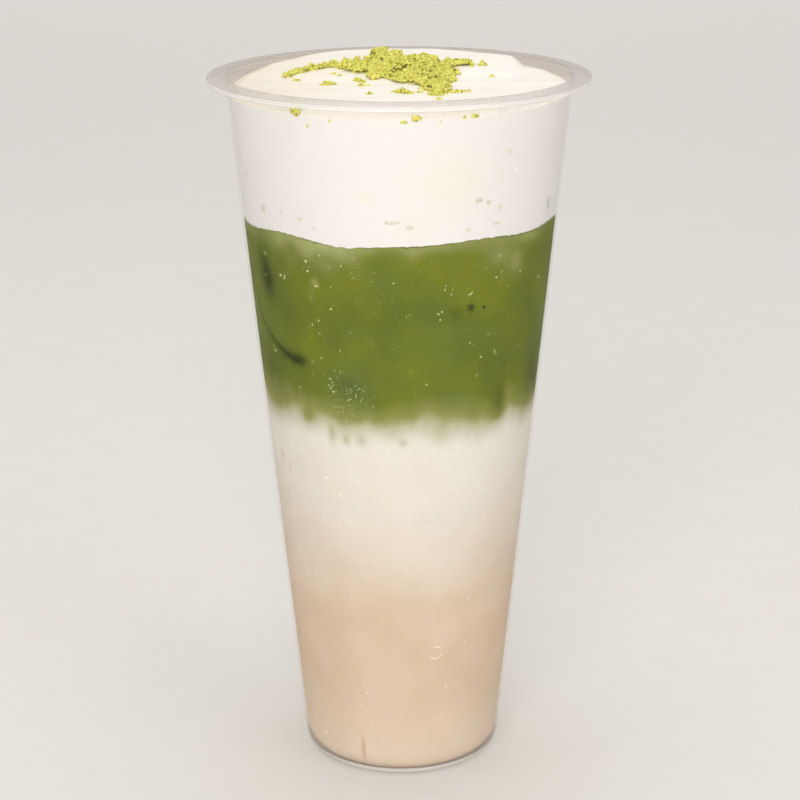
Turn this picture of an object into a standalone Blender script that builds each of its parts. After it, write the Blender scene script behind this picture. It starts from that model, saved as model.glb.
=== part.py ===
"""A tall clear cup of iced matcha latte: milk tea, milk, matcha and cream foam in
layers, with a loose heap of matcha powder on top.

Metres, +Z up. The origin is on the cup's axis, on the surface that the cup stands on,
and the front, where the foam lies lowest, faces -Y.
"""

import math
import random

import bmesh
import bpy
from mathutils import Matrix, Vector, noise

MM = 0.001

# Cup
CUP_HEIGHT = 180.0 * MM
RIM_RADIUS = 47.5 * MM
LIP_RADIUS = 42.8 * MM
WALL_THICKNESS = 0.8 * MM
WALL_RADIUS_AT_FOOT = 25.5 * MM
WALL_SLOPE_AT_FOOT = 0.102
WALL_SLOPE_AT_RIM = 0.094
RIM_FALL = 0.43 * MM
SKIRT_HEIGHT = 1.47 * MM
SKIRT_THICKNESS = 0.9 * MM
RIM_PLATE = 0.85 * MM
RIM_ROUNDING = 0.3 * MM
LIP_FLARE = 1.4 * MM
CORNER_RUN = 3.9 * MM
CORNER_RISE = 6.2 * MM
FOOT_RING_WIDTH = 2.4 * MM
FOOT_RECESS = 0.6 * MM
FLOOR_THICKNESS = 0.8 * MM

# Drink
GAP = 0.3 * MM
MILK_TEA_TOP = 74.0 * MM
MILK_TOP = 98.1 * MM
MATCHA_TOP = 145.1 * MM
FOAM_DEPTH = 3.3 * MM
FOAM_TILT = 0.03
FOAM_EDGE_DROP = 0.35 * MM
FOAM_EDGE_WIDTH = 1.2 * MM

# Slow waves in a boundary: angle from the front and half width in degrees, and height.
MATCHA_TOP_WAVES = (
    (-46, 13, 1.0 * MM), (-20, 9, -0.6 * MM), (30, 17, 0.8 * MM),
    (71, 12, 0.9 * MM), (130, 24, -0.5 * MM), (-120, 26, 0.6 * MM),
)
MILK_TOP_WAVES = (
    (-62, 12, 0.8 * MM), (-31, 5, 1.3 * MM), (31, 15, -1.1 * MM),
    (47, 6, 1.6 * MM), (80, 14, -1.8 * MM), (150, 30, 0.9 * MM), (-130, 22, -1.2 * MM),
)
MILK_TEA_TOP_WAVES = ((-40, 35, 1.5 * MM), (60, 40, -1.5 * MM), (175, 30, 1.0 * MM))

# The raised lobe of foam at the back, which ends on its right in a rounded fold
LOBE_HEIGHT = 1.8 * MM
LOBE_BACK = 30.0 * MM
LOBE_FOLD_X = 31.0 * MM
LOBE_FOLD_Y = 24.0 * MM
LOBE_FOLD_CURVE = 0.022 / MM
LOBE_FOLD_HALF_WIDTH = 1.6 * MM
LOBE_FADE_LEFT = 14.0 * MM
LOBE_FADE_END = 54.0 * MM

# Fineness of the meshes
SEGMENTS = 64
CORNER_STEPS = 4
WALL_STEPS = 3
MILK_SIDE_STEPS = 1
MATCHA_SIDE_STEPS = 2
FOAM_SIDE_STEPS = 2
SHARP_ANGLE = 35.0
MERGE_DISTANCE = 0.01 * MM
# Points this close to the nominal wall belong to a layer's side
SIDE_TOLERANCE = 0.6 * MM
# Radii of the rings of points across the layers' flat faces and the foam's surface
LAYER_RINGS = (0.0, 14.0 * MM, 26.0 * MM)
FOAM_RINGS = tuple(radius * MM for radius in (0, 7, 13, 19, 24.5, 29.5, 34, 38))

# Outline of the powder heap seen from above, x and y in millimetres
HEAP_OUTLINE = (
    (-9.8, 18.5), (-8.8, 12.5), (-7.2, 7.8), (-3.0, 5.0), (0.3, 4.2), (2.5, 1.4),
    (6.4, 0.0), (7.8, -5.4), (10.6, -6.6), (12.6, -3.0), (13.0, 2.2), (15.8, 4.8),
    (14.3, 9.4), (14.4, 16.0), (12.6, 21.0), (6.5, 25.0), (1.0, 24.0), (-4.5, 28.0),
    (-8.2, 25.0),
)
HEAP_EDGE_HEIGHT = 1.1 * MM
HEAP_EDGE_RUN = 6.0 * MM
HEAP_HEIGHT = 2.7 * MM
# Rises and dips in the heap: centre x, y, half width and height in millimetres
HEAP_SWELLS = (
    (-5.2, 23.0, 5.0, 2.3), (6.5, 20.0, 4.0, 1.0), (-3.5, 11.0, 4.5, 0.7),
    (3.2, 8.5, 2.6, -1.2), (0.5, 20.0, 2.6, -0.9), (10.0, -3.0, 4.0, -0.7),
)
CLOD_SPACING = 4.0 * MM
CLOD_RADIUS = (2.4 * MM, 3.3 * MM)
CLOD_HEIGHT_SPREAD = (0.85, 1.1)
CLOD_WIDTH_SPREAD = (0.85, 1.0)
CLOD_JITTER = 0.15
CLOD_ROUGHNESS = 0.4
CLOD_ROUGHNESS_SCALE = 1.6
SMALL_CLODS = 17
SMALL_CLOD_RADIUS = (0.55 * MM, 1.15 * MM)
SMALL_CLOD_WIDTH_SPREAD = (0.6, 1.0)
SMALL_CLOD_FLATNESS = 0.8
# Share of the heap's height at which a small clod is centred
SMALL_CLOD_LEVEL = 0.9
POWDER_SEED = 14
# Each clod takes its own part of the noise pattern, picked between 0 and this number
SHAPE_SEEDS = 50
FIRST_CRUMB_SEED = 40

# Trails of powder beside the heap: x, y and half width in millimetres along each
LEFT_TRAIL = (
    (-28.2, 9.9, 0.95), (-26.4, 13.4, 1.1), (-23.6, 16.0, 1.1), (-20.4, 18.2, 1.1),
    (-16.6, 19.4, 1.5), (-13.0, 17.4, 2.0), (-9.8, 15.6, 2.3),
)
RIGHT_TRAIL = ((12.0, 19.0, 1.8), (16.6, 20.6, 1.5), (18.3, 19.6, 0.9))
FRONT_TRAIL = ((9.4, 0.0, 2.4), (10.4, -4.6, 2.0), (9.6, -8.4, 1.3))
TRAIL_STEP = 1.7 * MM
TRAIL_SIZE_SPREAD = (0.85, 1.2)
# A trail's clods against their half width
TRAIL_CLOD_LENGTH = 1.25
TRAIL_CLOD_HEIGHT = 0.85

# Loose crumbs on the foam: x, y, half length, half width and height in mm, and turn
CRUMBS = (
    (-17.6, 1.6, 2.2, 1.6, 0.9, 35),
    (-10.0, 4.9, 2.3, 1.0, 0.9, -50),
    (-8.8, -0.6, 1.7, 0.8, 0.6, 10),
    (-7.2, -10.6, 1.0, 0.6, 0.4, 0),
    (0.9, -9.2, 3.0, 1.5, 0.9, -28),
    (5.0, -9.2, 1.2, 0.7, 0.4, 5),
    (9.2, -12.2, 2.3, 1.9, 0.9, 10),
    (14.4, -8.9, 2.6, 0.9, 0.6, 35),
    (9.4, -17.8, 0.7, 0.6, 0.4, 0),
    (21.2, 20.2, 1.4, 1.0, 0.8, -15),
    (23.2, 9.1, 0.8, 0.6, 0.4, 0),
    (-25.5, 6.0, 1.3, 0.6, 0.4, 0),
    (-16.5, 11.8, 0.6, 0.5, 0.4, 0),
    (-14.9, 10.0, 0.5, 0.4, 0.4, 0),
)

COLOURS = {
    "cup": "CEC6C2",
    "cream_foam": "FBF3E6",
    "matcha_layer": "6D772B",
    "milk_layer": "E6DDCF",
    "milk_tea_layer": "D2B99E",
    "matcha_powder": "CEC75A",
}
ROUGHNESS = {
    "cup": 0.18,
    "cream_foam": 0.5,
    "matcha_layer": 0.3,
    "milk_layer": 0.35,
    "milk_tea_layer": 0.35,
    "matcha_powder": 0.9,
}


def smooth(value):
    """Ease from 0 to 1 as the value goes from 0 to 1."""
    t = min(max(value, 0.0), 1.0)
    return t * t * (3.0 - 2.0 * t)


def wall_radius(z):
    """Outer radius of the cup's wall, whose slope eases a little toward the rim."""
    slope_change = WALL_SLOPE_AT_RIM - WALL_SLOPE_AT_FOOT
    return WALL_RADIUS_AT_FOOT + WALL_SLOPE_AT_FOOT * z + slope_change * z * z / (2 * CUP_HEIGHT)


def corner_inset(z):
    """How far the rounded bottom corner draws the wall in at this height."""
    t = 1.0 - min(max(z / CORNER_RISE, 0.0), 1.0)
    return CORNER_RUN * (1.0 - math.sqrt(1.0 - t * t))


def inner_radius(z):
    """Radius of the cup's inside at this height."""
    above_floor = z - FOOT_RECESS - FLOOR_THICKNESS
    return wall_radius(z) - WALL_THICKNESS - corner_inset(above_floor)


def wave(angle, waves):
    """Sum of the waves at an angle in degrees from the front."""
    total = 0.0
    for centre, half_width, height in waves:
        away = (angle - centre + 180.0) % 360.0 - 180.0
        total += height * math.exp(-((away / half_width) ** 2))
    return total


def boundary(level, waves):
    """Height function of a boundary: level at the axis, waved toward the wall."""
    def height(x, y):
        angle = math.degrees(math.atan2(x, -y))
        reach = min(math.hypot(x, y) / inner_radius(level), 1.0)
        return level + wave(angle, waves) * reach * reach
    return height


def foam_top(x, y):
    """Surface of the foam: tilted up to the back, with the lobe folded over there."""
    level = CUP_HEIGHT - FOAM_DEPTH + FOAM_TILT * y
    rise = smooth(y / LOBE_BACK)
    fold_x = LOBE_FOLD_X - LOBE_FOLD_CURVE * (y - LOBE_FOLD_Y) ** 2
    fold = 1.0 - smooth((x - fold_x + LOBE_FOLD_HALF_WIDTH) / (2 * LOBE_FOLD_HALF_WIDTH))
    fade = 1.0 - smooth((-x - LOBE_FADE_LEFT) / (LOBE_FADE_END - LOBE_FADE_LEFT))
    return level + LOBE_HEIGHT * rise * fold * fade


matcha_top = boundary(MATCHA_TOP, MATCHA_TOP_WAVES)
milk_top = boundary(MILK_TOP, MILK_TOP_WAVES)
milk_tea_top = boundary(MILK_TEA_TOP, MILK_TEA_TOP_WAVES)


def raised(surface, amount):
    """The same surface, moved up by an amount."""
    return lambda x, y: surface(x, y) + amount


def clear_scene():
    for obj in list(bpy.data.objects):
        bpy.data.objects.remove(obj, do_unlink=True)


def new_collection(name):
    collection = bpy.data.collections.new(name)
    bpy.context.scene.collection.children.link(collection)
    return collection


def linear_colour(code):
    """Scene-linear RGBA of an sRGB colour written as six hexadecimal digits."""
    channels = [int(code[i:i + 2], 16) / 255.0 for i in (0, 2, 4)]
    linear = [c / 12.92 if c <= 0.04045 else ((c + 0.055) / 1.055) ** 2.4 for c in channels]
    return (*linear, 1.0)


def make_material(name):
    material = bpy.data.materials.new(name + "_material")
    material.use_nodes = True
    shader = material.node_tree.nodes["Principled BSDF"]
    shader.inputs["Base Color"].default_value = linear_colour(COLOURS[name])
    shader.inputs["Roughness"].default_value = ROUGHNESS[name]
    shader.inputs["Metallic"].default_value = 0.0
    return material


def finish(obj, name):
    """Give a sub-part its name, its material and smooth shading with sharp edges kept."""
    obj.name = name
    obj.data.name = name
    obj.data.materials.clear()
    obj.data.materials.append(make_material(name))
    obj.data.shade_smooth()
    obj.data.set_sharp_from_angle(angle=math.radians(SHARP_ANGLE))


def turned(name, profile, collection):
    """Turn a profile of (radius, height) points about Z, and return it as a plain mesh."""
    mesh = bpy.data.meshes.new(name)
    bm = bmesh.new()
    points = [bm.verts.new((radius, 0.0, height)) for radius, height in profile]
    for start, end in zip(points, points[1:]):
        bm.edges.new((start, end))
    bm.to_mesh(mesh)
    bm.free()
    obj = bpy.data.objects.new(name, mesh)
    collection.objects.link(obj)
    screw = obj.modifiers.new("turn", "SCREW")
    screw.axis = "Z"
    screw.angle = 2 * math.pi
    screw.steps = SEGMENTS
    screw.render_steps = SEGMENTS
    screw.use_merge_vertices = True
    screw.merge_threshold = MERGE_DISTANCE
    apply_modifiers(obj)
    return obj


def apply_modifiers(obj):
    """Replace an object's mesh with the mesh that its modifiers make."""
    evaluated = obj.evaluated_get(bpy.context.evaluated_depsgraph_get())
    mesh = bpy.data.meshes.new_from_object(evaluated)
    obj.modifiers.clear()
    obj.data = mesh


def ellipse_corner(radius, height, run, rise, steps):
    """Points of a quarter ellipse from the wall, at the given height, in to the floor."""
    points = []
    for i in range(steps + 1):
        a = math.radians(90) * i / steps
        points.append((radius - run * (1 - math.cos(a)), height - rise * math.sin(a)))
    return points


def cup_profile():
    """Half section of the cup, from the inside floor up, over the rim and down outside."""
    floor = FOOT_RECESS + FLOOR_THICKNESS
    corner_top = floor + CORNER_RISE
    inside_foot = inner_radius(corner_top)
    points = [(0.0, floor)]
    points += reversed(ellipse_corner(inside_foot, corner_top, CORNER_RUN, CORNER_RISE, CORNER_STEPS))

    lip_start = CUP_HEIGHT - LIP_FLARE
    for i in range(1, WALL_STEPS + 1):
        z = corner_top + (lip_start - corner_top) * i / WALL_STEPS
        points.append((inner_radius(z), z))
    points.append((LIP_RADIUS - RIM_ROUNDING, CUP_HEIGHT - RIM_ROUNDING))
    points.append((LIP_RADIUS, CUP_HEIGHT))

    rim_top = CUP_HEIGHT - RIM_FALL
    skirt_foot = rim_top - SKIRT_HEIGHT
    skirt_inside = RIM_RADIUS - SKIRT_THICKNESS
    plate_under = rim_top - RIM_PLATE
    points.append((RIM_RADIUS - RIM_ROUNDING, rim_top))
    points.append((RIM_RADIUS, rim_top - RIM_ROUNDING))
    points.append((RIM_RADIUS, skirt_foot))
    points.append((skirt_inside, skirt_foot))
    points.append((skirt_inside, plate_under))
    points.append((wall_radius(plate_under) + RIM_ROUNDING, plate_under))

    for i in range(WALL_STEPS + 1):
        z = skirt_foot + (CORNER_RISE - skirt_foot) * i / WALL_STEPS
        points.append((wall_radius(z), z))
    foot = ellipse_corner(wall_radius(CORNER_RISE), CORNER_RISE, CORNER_RUN, CORNER_RISE, CORNER_STEPS)
    points += foot[1:]
    ring_inside = foot[-1][0] - FOOT_RING_WIDTH
    points.append((ring_inside, 0.0))
    points.append((ring_inside - FOOT_RECESS, FOOT_RECESS))
    points.append((0.0, FOOT_RECESS))
    return points


def make_cup(collection):
    cup = turned("cup", cup_profile(), collection)
    finish(cup, "cup")
    return cup


def layer_profile(bottom, top, side_steps):
    """Half section of a layer at its nominal levels: across its top, down, and back."""
    points = [(radius, top) for radius in LAYER_RINGS]
    for i in range(side_steps + 1):
        z = top + (bottom - top) * i / side_steps
        points.append((inner_radius(z) - GAP, z))
    points += [(radius, bottom) for radius in reversed(LAYER_RINGS)]
    return points


def fit_between(obj, bottom, top, under, over):
    """Move a nominal layer's points so that they fill the space between two surfaces."""
    for vertex in obj.data.vertices:
        x, y, z = vertex.co
        part = (z - bottom) / (top - bottom)
        reach = math.hypot(x, y)
        at_wall = reach > inner_radius(z) - SIDE_TOLERANCE
        new_z = under(x, y) + part * (over(x, y) - under(x, y))
        if at_wall:
            scale = (inner_radius(new_z) - GAP) / reach
            x, y = x * scale, y * scale
        vertex.co = (x, y, new_z)


def make_layer(name, bottom, top, under, over, side_steps, collection):
    """A layer between two nominal levels, then shaped by its under and upper surfaces."""
    layer = turned(name, layer_profile(bottom, top, side_steps), collection)
    fit_between(layer, bottom, top, under, over)
    finish(layer, name)
    return layer


def make_milk_tea(collection):
    """The bottom layer, which follows the cup's rounded corner down to the floor."""
    floor = FOOT_RECESS + FLOOR_THICKNESS + GAP
    corner_top = floor + CORNER_RISE
    outer = inner_radius(corner_top) - GAP
    points = [(radius, MILK_TEA_TOP) for radius in LAYER_RINGS]
    for z in (MILK_TEA_TOP, (MILK_TEA_TOP + corner_top) / 2):
        points.append((inner_radius(z) - GAP, z))
    points += ellipse_corner(outer, corner_top, CORNER_RUN, CORNER_RISE, CORNER_STEPS)
    points.append((0.0, floor))
    layer = turned("milk_tea_layer", points, collection)
    for vertex in layer.data.vertices:
        x, y, z = vertex.co
        if z > MILK_TEA_TOP - GAP:
            vertex.co.z = milk_tea_top(x, y)
    finish(layer, "milk_tea_layer")
    return layer


def foam_edge_top(x, y):
    """The foam's surface, turned down a little where it meets the wall."""
    from_wall = inner_radius(CUP_HEIGHT) - GAP - math.hypot(x, y)
    near_wall = 1.0 - smooth(from_wall / FOAM_EDGE_WIDTH)
    return foam_top(x, y) - FOAM_EDGE_DROP * near_wall


def clod(name, centre, half_sizes, turn, seed, collection, divisions=2):
    """An uneven lump: a sphere of triangles with its points pushed in and out."""
    mesh = bpy.data.meshes.new(name)
    bm = bmesh.new()
    bmesh.ops.create_icosphere(bm, subdivisions=divisions, radius=1.0)
    offset = Vector((seed * 3.7, seed * 1.3, seed * 2.1))
    for vertex in bm.verts:
        push = 1.0 + CLOD_ROUGHNESS * noise.noise(vertex.co * CLOD_ROUGHNESS_SCALE + offset)
        vertex.co = vertex.co * push
    frame = (
        Matrix.Translation(centre)
        @ Matrix.Rotation(math.radians(turn), 4, "Z")
        @ Matrix.Diagonal((*half_sizes, 1.0))
    )
    bmesh.ops.transform(bm, matrix=frame, verts=bm.verts)
    bm.to_mesh(mesh)
    bm.free()
    obj = bpy.data.objects.new(name, mesh)
    collection.objects.link(obj)
    return obj


def join_to(body, lumps, operation="UNION"):
    """Apply one Boolean between a body and a collection, then remove what was used."""
    boolean = body.modifiers.new("join", "BOOLEAN")
    boolean.operation = operation
    boolean.operand_type = "COLLECTION"
    boolean.collection = lumps
    boolean.solver = "EXACT"
    bpy.context.view_layer.update()
    apply_modifiers(body)
    for obj in list(lumps.objects):
        bpy.data.objects.remove(obj, do_unlink=True)
    bpy.data.collections.remove(lumps)


def keep_largest_body(obj):
    """Drop the loose scraps that a Boolean leaves beside the main body."""
    bm = bmesh.new()
    bm.from_mesh(obj.data)
    left = set(bm.verts)
    bodies = []
    while left:
        stack = [left.pop()]
        body = list(stack)
        while stack:
            for edge in stack.pop().link_edges:
                for vertex in edge.verts:
                    if vertex in left:
                        left.remove(vertex)
                        stack.append(vertex)
                        body.append(vertex)
        bodies.append(body)
    largest = max(bodies, key=len)
    scraps = [vertex for body in bodies if body is not largest for vertex in body]
    bmesh.ops.delete(bm, geom=scraps, context="VERTS")
    bmesh.ops.triangulate(bm, faces=bm.faces)
    bm.to_mesh(obj.data)
    bm.free()


def make_foam(collection):
    """The cream foam, with the loose crumbs of powder fused to its surface."""
    profile = [(radius, CUP_HEIGHT) for radius in FOAM_RINGS]
    edge = inner_radius(CUP_HEIGHT) - GAP
    profile.append((edge - FOAM_EDGE_WIDTH, CUP_HEIGHT))
    for i in range(FOAM_SIDE_STEPS + 1):
        z = CUP_HEIGHT + (MATCHA_TOP - CUP_HEIGHT) * i / FOAM_SIDE_STEPS
        profile.append((inner_radius(z) - GAP, z))
    profile += [(radius, MATCHA_TOP) for radius in reversed(LAYER_RINGS)]
    foam = turned("cream_foam", profile, collection)
    fit_between(foam, MATCHA_TOP, CUP_HEIGHT, raised(matcha_top, GAP), foam_edge_top)

    crumbs = new_collection("foam_crumbs")
    for i, (x, y, half_length, half_width, height, turn) in enumerate(CRUMBS):
        x, y = x * MM, y * MM
        sizes = (half_length * MM, half_width * MM, height * MM)
        seed = FIRST_CRUMB_SEED + i
        clod(f"crumb_{i}", (x, y, foam_top(x, y)), sizes, turn, seed, crumbs)
    join_to(foam, crumbs)
    keep_largest_body(foam)
    finish(foam, "cream_foam")
    return foam


def heap_bounds():
    """Lowest and highest x, then lowest and highest y, of the heap's outline."""
    across = [x * MM for x, _ in HEAP_OUTLINE]
    deep = [y * MM for _, y in HEAP_OUTLINE]
    return min(across), max(across), min(deep), max(deep)


def distance_inside(x, y):
    """Distance from a point to the heap's outline, negative outside it."""
    nearest = math.inf
    crossings = 0
    previous = HEAP_OUTLINE[-1]
    for corner in HEAP_OUTLINE:
        (x0, y0), (x1, y1) = [(px * MM, py * MM) for px, py in (previous, corner)]
        run = (x1 - x0, y1 - y0)
        length_squared = run[0] ** 2 + run[1] ** 2
        t = ((x - x0) * run[0] + (y - y0) * run[1]) / length_squared
        t = min(max(t, 0.0), 1.0)
        nearest = min(nearest, math.hypot(x - x0 - t * run[0], y - y0 - t * run[1]))
        if (y0 > y) != (y1 > y) and x < x0 + (y - y0) / (y1 - y0) * (x1 - x0):
            crossings += 1
        previous = corner
    return nearest if crossings % 2 else -nearest


def heap_height(x, y):
    """Height of the heap above the foam: a low edge, a broad top, swells and a crease."""
    inside = distance_inside(x, y)
    climb = smooth(inside / HEAP_EDGE_RUN)
    height = HEAP_EDGE_HEIGHT + (HEAP_HEIGHT - HEAP_EDGE_HEIGHT) * climb
    for centre_x, centre_y, half_width, rise in HEAP_SWELLS:
        away = math.hypot(x - centre_x * MM, y - centre_y * MM) / (half_width * MM)
        height += rise * MM * math.exp(-away * away)
    return height


def places_in_heap():
    """Points of a triangular grid that lie inside the heap's outline."""
    x_low, x_high, y_low, y_high = heap_bounds()
    row_step = CLOD_SPACING * math.sqrt(3) / 2
    for row in range(math.ceil((y_high - y_low) / row_step)):
        for column in range(math.ceil((x_high - x_low) / CLOD_SPACING)):
            x = x_low + (column + 0.5 * (row % 2)) * CLOD_SPACING
            y = y_low + (row + 0.5) * row_step
            if distance_inside(x, y) > CLOD_RADIUS[0] / 2:
                yield x, y


def fill_heap(rng, lumps):
    """Fill the outline with overlapping clods that rise from the foam's surface."""
    for i, (grid_x, grid_y) in enumerate(places_in_heap()):
        x = grid_x + rng.uniform(-CLOD_JITTER, CLOD_JITTER) * CLOD_SPACING
        y = grid_y + rng.uniform(-CLOD_JITTER, CLOD_JITTER) * CLOD_SPACING
        radius = rng.uniform(*CLOD_RADIUS)
        height = heap_height(x, y) * rng.uniform(*CLOD_HEIGHT_SPREAD)
        sizes = (radius, radius * rng.uniform(*CLOD_WIDTH_SPREAD), height)
        turn = rng.uniform(0, 180)
        seed = rng.random() * SHAPE_SEEDS
        clod(f"clod_{i}", (x, y, foam_top(x, y)), sizes, turn, seed, lumps)


def scatter_small_clods(rng, lumps):
    """Set small clods on the heap's surface and along its edge."""
    x_low, x_high, y_low, y_high = heap_bounds()
    placed = 0
    while placed < SMALL_CLODS:
        x = rng.uniform(x_low, x_high)
        y = rng.uniform(y_low, y_high)
        inside = distance_inside(x, y)
        if inside < 0.0:
            continue
        radius = rng.uniform(*SMALL_CLOD_RADIUS)
        level = SMALL_CLOD_LEVEL * smooth(inside / CLOD_RADIUS[1])
        z = foam_top(x, y) + heap_height(x, y) * level
        sizes = (radius, radius * rng.uniform(*SMALL_CLOD_WIDTH_SPREAD), radius * SMALL_CLOD_FLATNESS)
        turn = rng.uniform(0, 180)
        seed = rng.random() * SHAPE_SEEDS
        clod(f"small_{placed}", (x, y, z), sizes, turn, seed, lumps, divisions=1)
        placed += 1


def lay_trail(points, name, rng, lumps):
    """Lay overlapping clods along a trail, as wide as each of its points says."""
    for (x0, y0, width_0), (x1, y1, width_1) in zip(points, points[1:]):
        count = max(1, round(math.hypot(x1 - x0, y1 - y0) * MM / TRAIL_STEP))
        for i in range(count + 1):
            t = i / count
            x = (x0 + (x1 - x0) * t) * MM
            y = (y0 + (y1 - y0) * t) * MM
            radius = (width_0 + (width_1 - width_0) * t) * MM * rng.uniform(*TRAIL_SIZE_SPREAD)
            sizes = (radius * TRAIL_CLOD_LENGTH, radius, radius * TRAIL_CLOD_HEIGHT)
            turn = rng.uniform(0, 180)
            seed = rng.random() * SHAPE_SEEDS
            clod(f"{name}_{i}", (x, y, foam_top(x, y)), sizes, turn, seed, lumps)


def make_foam_cutter(cutters):
    """A body under the foam's surface plus the gap, for cutting the heap's underside."""
    profile = [(radius, CUP_HEIGHT) for radius in (*FOAM_RINGS, LIP_RADIUS)]
    profile += [(LIP_RADIUS, MATCHA_TOP), (0.0, MATCHA_TOP)]
    cutter = turned("foam_cutter", profile, cutters)
    for vertex in cutter.data.vertices:
        if vertex.co.z > MATCHA_TOP + GAP:
            vertex.co.z = foam_top(vertex.co.x, vertex.co.y) + GAP
    cutter.hide_render = True
    cutter.display_type = "WIRE"


def make_powder(collection):
    """The heap: clods and trails joined into one body and cut clear of the foam."""
    rng = random.Random(POWDER_SEED)
    lumps = new_collection("powder_lumps")
    fill_heap(rng, lumps)
    scatter_small_clods(rng, lumps)
    lay_trail(LEFT_TRAIL, "left_trail", rng, lumps)
    lay_trail(RIGHT_TRAIL, "right_trail", rng, lumps)
    lay_trail(FRONT_TRAIL, "front_trail", rng, lumps)

    powder = lumps.objects[0]
    lumps.objects.unlink(powder)
    collection.objects.link(powder)
    join_to(powder, lumps)

    cutters = new_collection("cutters")
    make_foam_cutter(cutters)
    join_to(powder, cutters, "DIFFERENCE")
    keep_largest_body(powder)
    finish(powder, "matcha_powder")
    return powder


def main():
    clear_scene()
    collection = new_collection("matcha_latte")
    make_cup(collection)
    make_milk_tea(collection)
    make_layer("milk_layer", MILK_TEA_TOP, MILK_TOP, raised(milk_tea_top, GAP), milk_top,
               MILK_SIDE_STEPS, collection)
    make_layer("matcha_layer", MILK_TOP, MATCHA_TOP, raised(milk_top, GAP), matcha_top,
               MATCHA_SIDE_STEPS, collection)
    make_foam(collection)
    make_powder(collection)
    for obj in collection.objects:
        faces = sum(len(face.vertices) - 2 for face in obj.data.polygons)
        print(f"{obj.name}: {faces} triangles")


main()
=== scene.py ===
# %% [markdown]
# # An iced matcha latte in a tall clear cup
#
# The drink is built from the outside in, the way one looks at it: first the studio and
# the camera, then the clear cup, the three liquid layers, the cream foam that floats on
# them, and last the matcha powder. Each piece takes the place of one solid of the
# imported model, so the shapes here repeat that model's sizes and only add finer relief.

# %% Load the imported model
import math
import random

import bmesh
import bpy
import numpy as np
from mathutils import Matrix, Vector, noise


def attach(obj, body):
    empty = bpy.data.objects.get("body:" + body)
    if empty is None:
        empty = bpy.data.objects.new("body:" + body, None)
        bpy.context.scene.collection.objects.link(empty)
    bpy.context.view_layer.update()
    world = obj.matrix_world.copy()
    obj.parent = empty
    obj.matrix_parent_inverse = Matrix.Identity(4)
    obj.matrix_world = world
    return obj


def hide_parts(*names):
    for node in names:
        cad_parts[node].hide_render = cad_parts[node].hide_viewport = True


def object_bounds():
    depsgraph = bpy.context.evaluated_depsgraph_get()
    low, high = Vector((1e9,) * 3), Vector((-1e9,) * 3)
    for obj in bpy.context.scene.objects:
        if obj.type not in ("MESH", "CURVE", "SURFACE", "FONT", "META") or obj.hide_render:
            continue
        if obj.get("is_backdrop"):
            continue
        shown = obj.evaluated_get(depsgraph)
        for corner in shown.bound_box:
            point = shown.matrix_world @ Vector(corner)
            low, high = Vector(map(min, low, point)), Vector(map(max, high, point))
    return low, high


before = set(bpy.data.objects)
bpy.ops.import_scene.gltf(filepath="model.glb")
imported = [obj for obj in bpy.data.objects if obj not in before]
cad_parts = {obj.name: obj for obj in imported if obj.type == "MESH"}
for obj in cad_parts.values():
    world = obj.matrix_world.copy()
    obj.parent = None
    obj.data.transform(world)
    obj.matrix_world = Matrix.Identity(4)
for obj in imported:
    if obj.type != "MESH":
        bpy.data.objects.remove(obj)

MM = 0.001
model_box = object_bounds()
print("packed model, mm:", [[round(float(c) / MM, 1) for c in corner] for corner in model_box])

# %% [markdown]
# ## Camera
#
# A tall tapered cup changes its outline quickly with the viewpoint, so the camera was
# fitted to the outline first: it stands about half a metre away, a little above the
# rim, and looks down at the middle of the cup through a 97 mm lens. A camera could also
# be placed by eye, but then every size read from the picture would be a little wrong.

# %% Camera
IMAGE_WIDTH = 800
FOCAL_PIXELS = 2154.7
SENSOR_WIDTH = 36.0
CAMERA_PLACE = Vector((-0.14 * MM, -531.6 * MM, 263.1 * MM))
CAMERA_PITCH = 0.3061
CAMERA_ROLL = -0.0043


def make_camera():
    lens = bpy.data.cameras.new("studio_camera")
    lens.sensor_width = SENSOR_WIDTH
    lens.lens = FOCAL_PIXELS * SENSOR_WIDTH / IMAGE_WIDTH
    camera = bpy.data.objects.new("studio_camera", lens)
    bpy.context.scene.collection.objects.link(camera)
    tilt = Matrix.Rotation(math.pi / 2 - CAMERA_PITCH, 4, "X")
    camera.matrix_world = Matrix.Translation(CAMERA_PLACE) @ tilt @ Matrix.Rotation(CAMERA_ROLL, 4, "Z")
    bpy.context.scene.camera = camera
    print("lens, mm:", round(lens.lens, 1))


make_camera()

# %% [markdown]
# ## Colours and nodes
#
# Colours are noted as sRGB hex, as a colour picker shows them, and one function turns
# them into the linear values that a shader mixes with. One more function adds a node of
# any kind with its settings and links, and gives back one of its outputs. It takes the
# inputs by name, or as a list in the order in which the node shows them. The last one
# lays coats of colour over one another, because most finishes here are made up that way.

# %% Colour and node helpers


def linear(code):
    """Scene-linear RGBA of an sRGB colour written as six hexadecimal digits."""
    channels = [int(code[i:i + 2], 16) / 255.0 for i in (0, 2, 4)]
    return (*[c / 12.92 if c <= 0.04045 else ((c + 0.055) / 1.055) ** 2.4 for c in channels], 1.0)


def add(tree, kind, inputs=(), output=0, **settings):
    """Add a node with its options and its inputs: links, values, or colours as hex digits."""
    node = tree.nodes.new("ShaderNode" + kind)
    for option, value in settings.items():
        setattr(node, option, value)
    for socket, value in inputs.items() if isinstance(inputs, dict) else enumerate(inputs):
        if isinstance(value, bpy.types.NodeSocket):
            tree.links.new(value, node.inputs[socket])
        else:
            node.inputs[socket].default_value = linear(value) if isinstance(value, str) else value
    return node.outputs[output] if len(node.outputs) else None


def new_material(name):
    """A node material, its tree, and the only thing in it: the places on its piece."""
    material = bpy.data.materials.new(name)
    material.use_nodes = True
    tree = material.node_tree
    tree.nodes.clear()
    return material, tree, add(tree, "TexCoord", output="Object")


def surfaced(material, surface):
    """The material with this shader as its surface."""
    add(material.node_tree, "OutputMaterial", {"Surface": surface})
    return material


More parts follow.
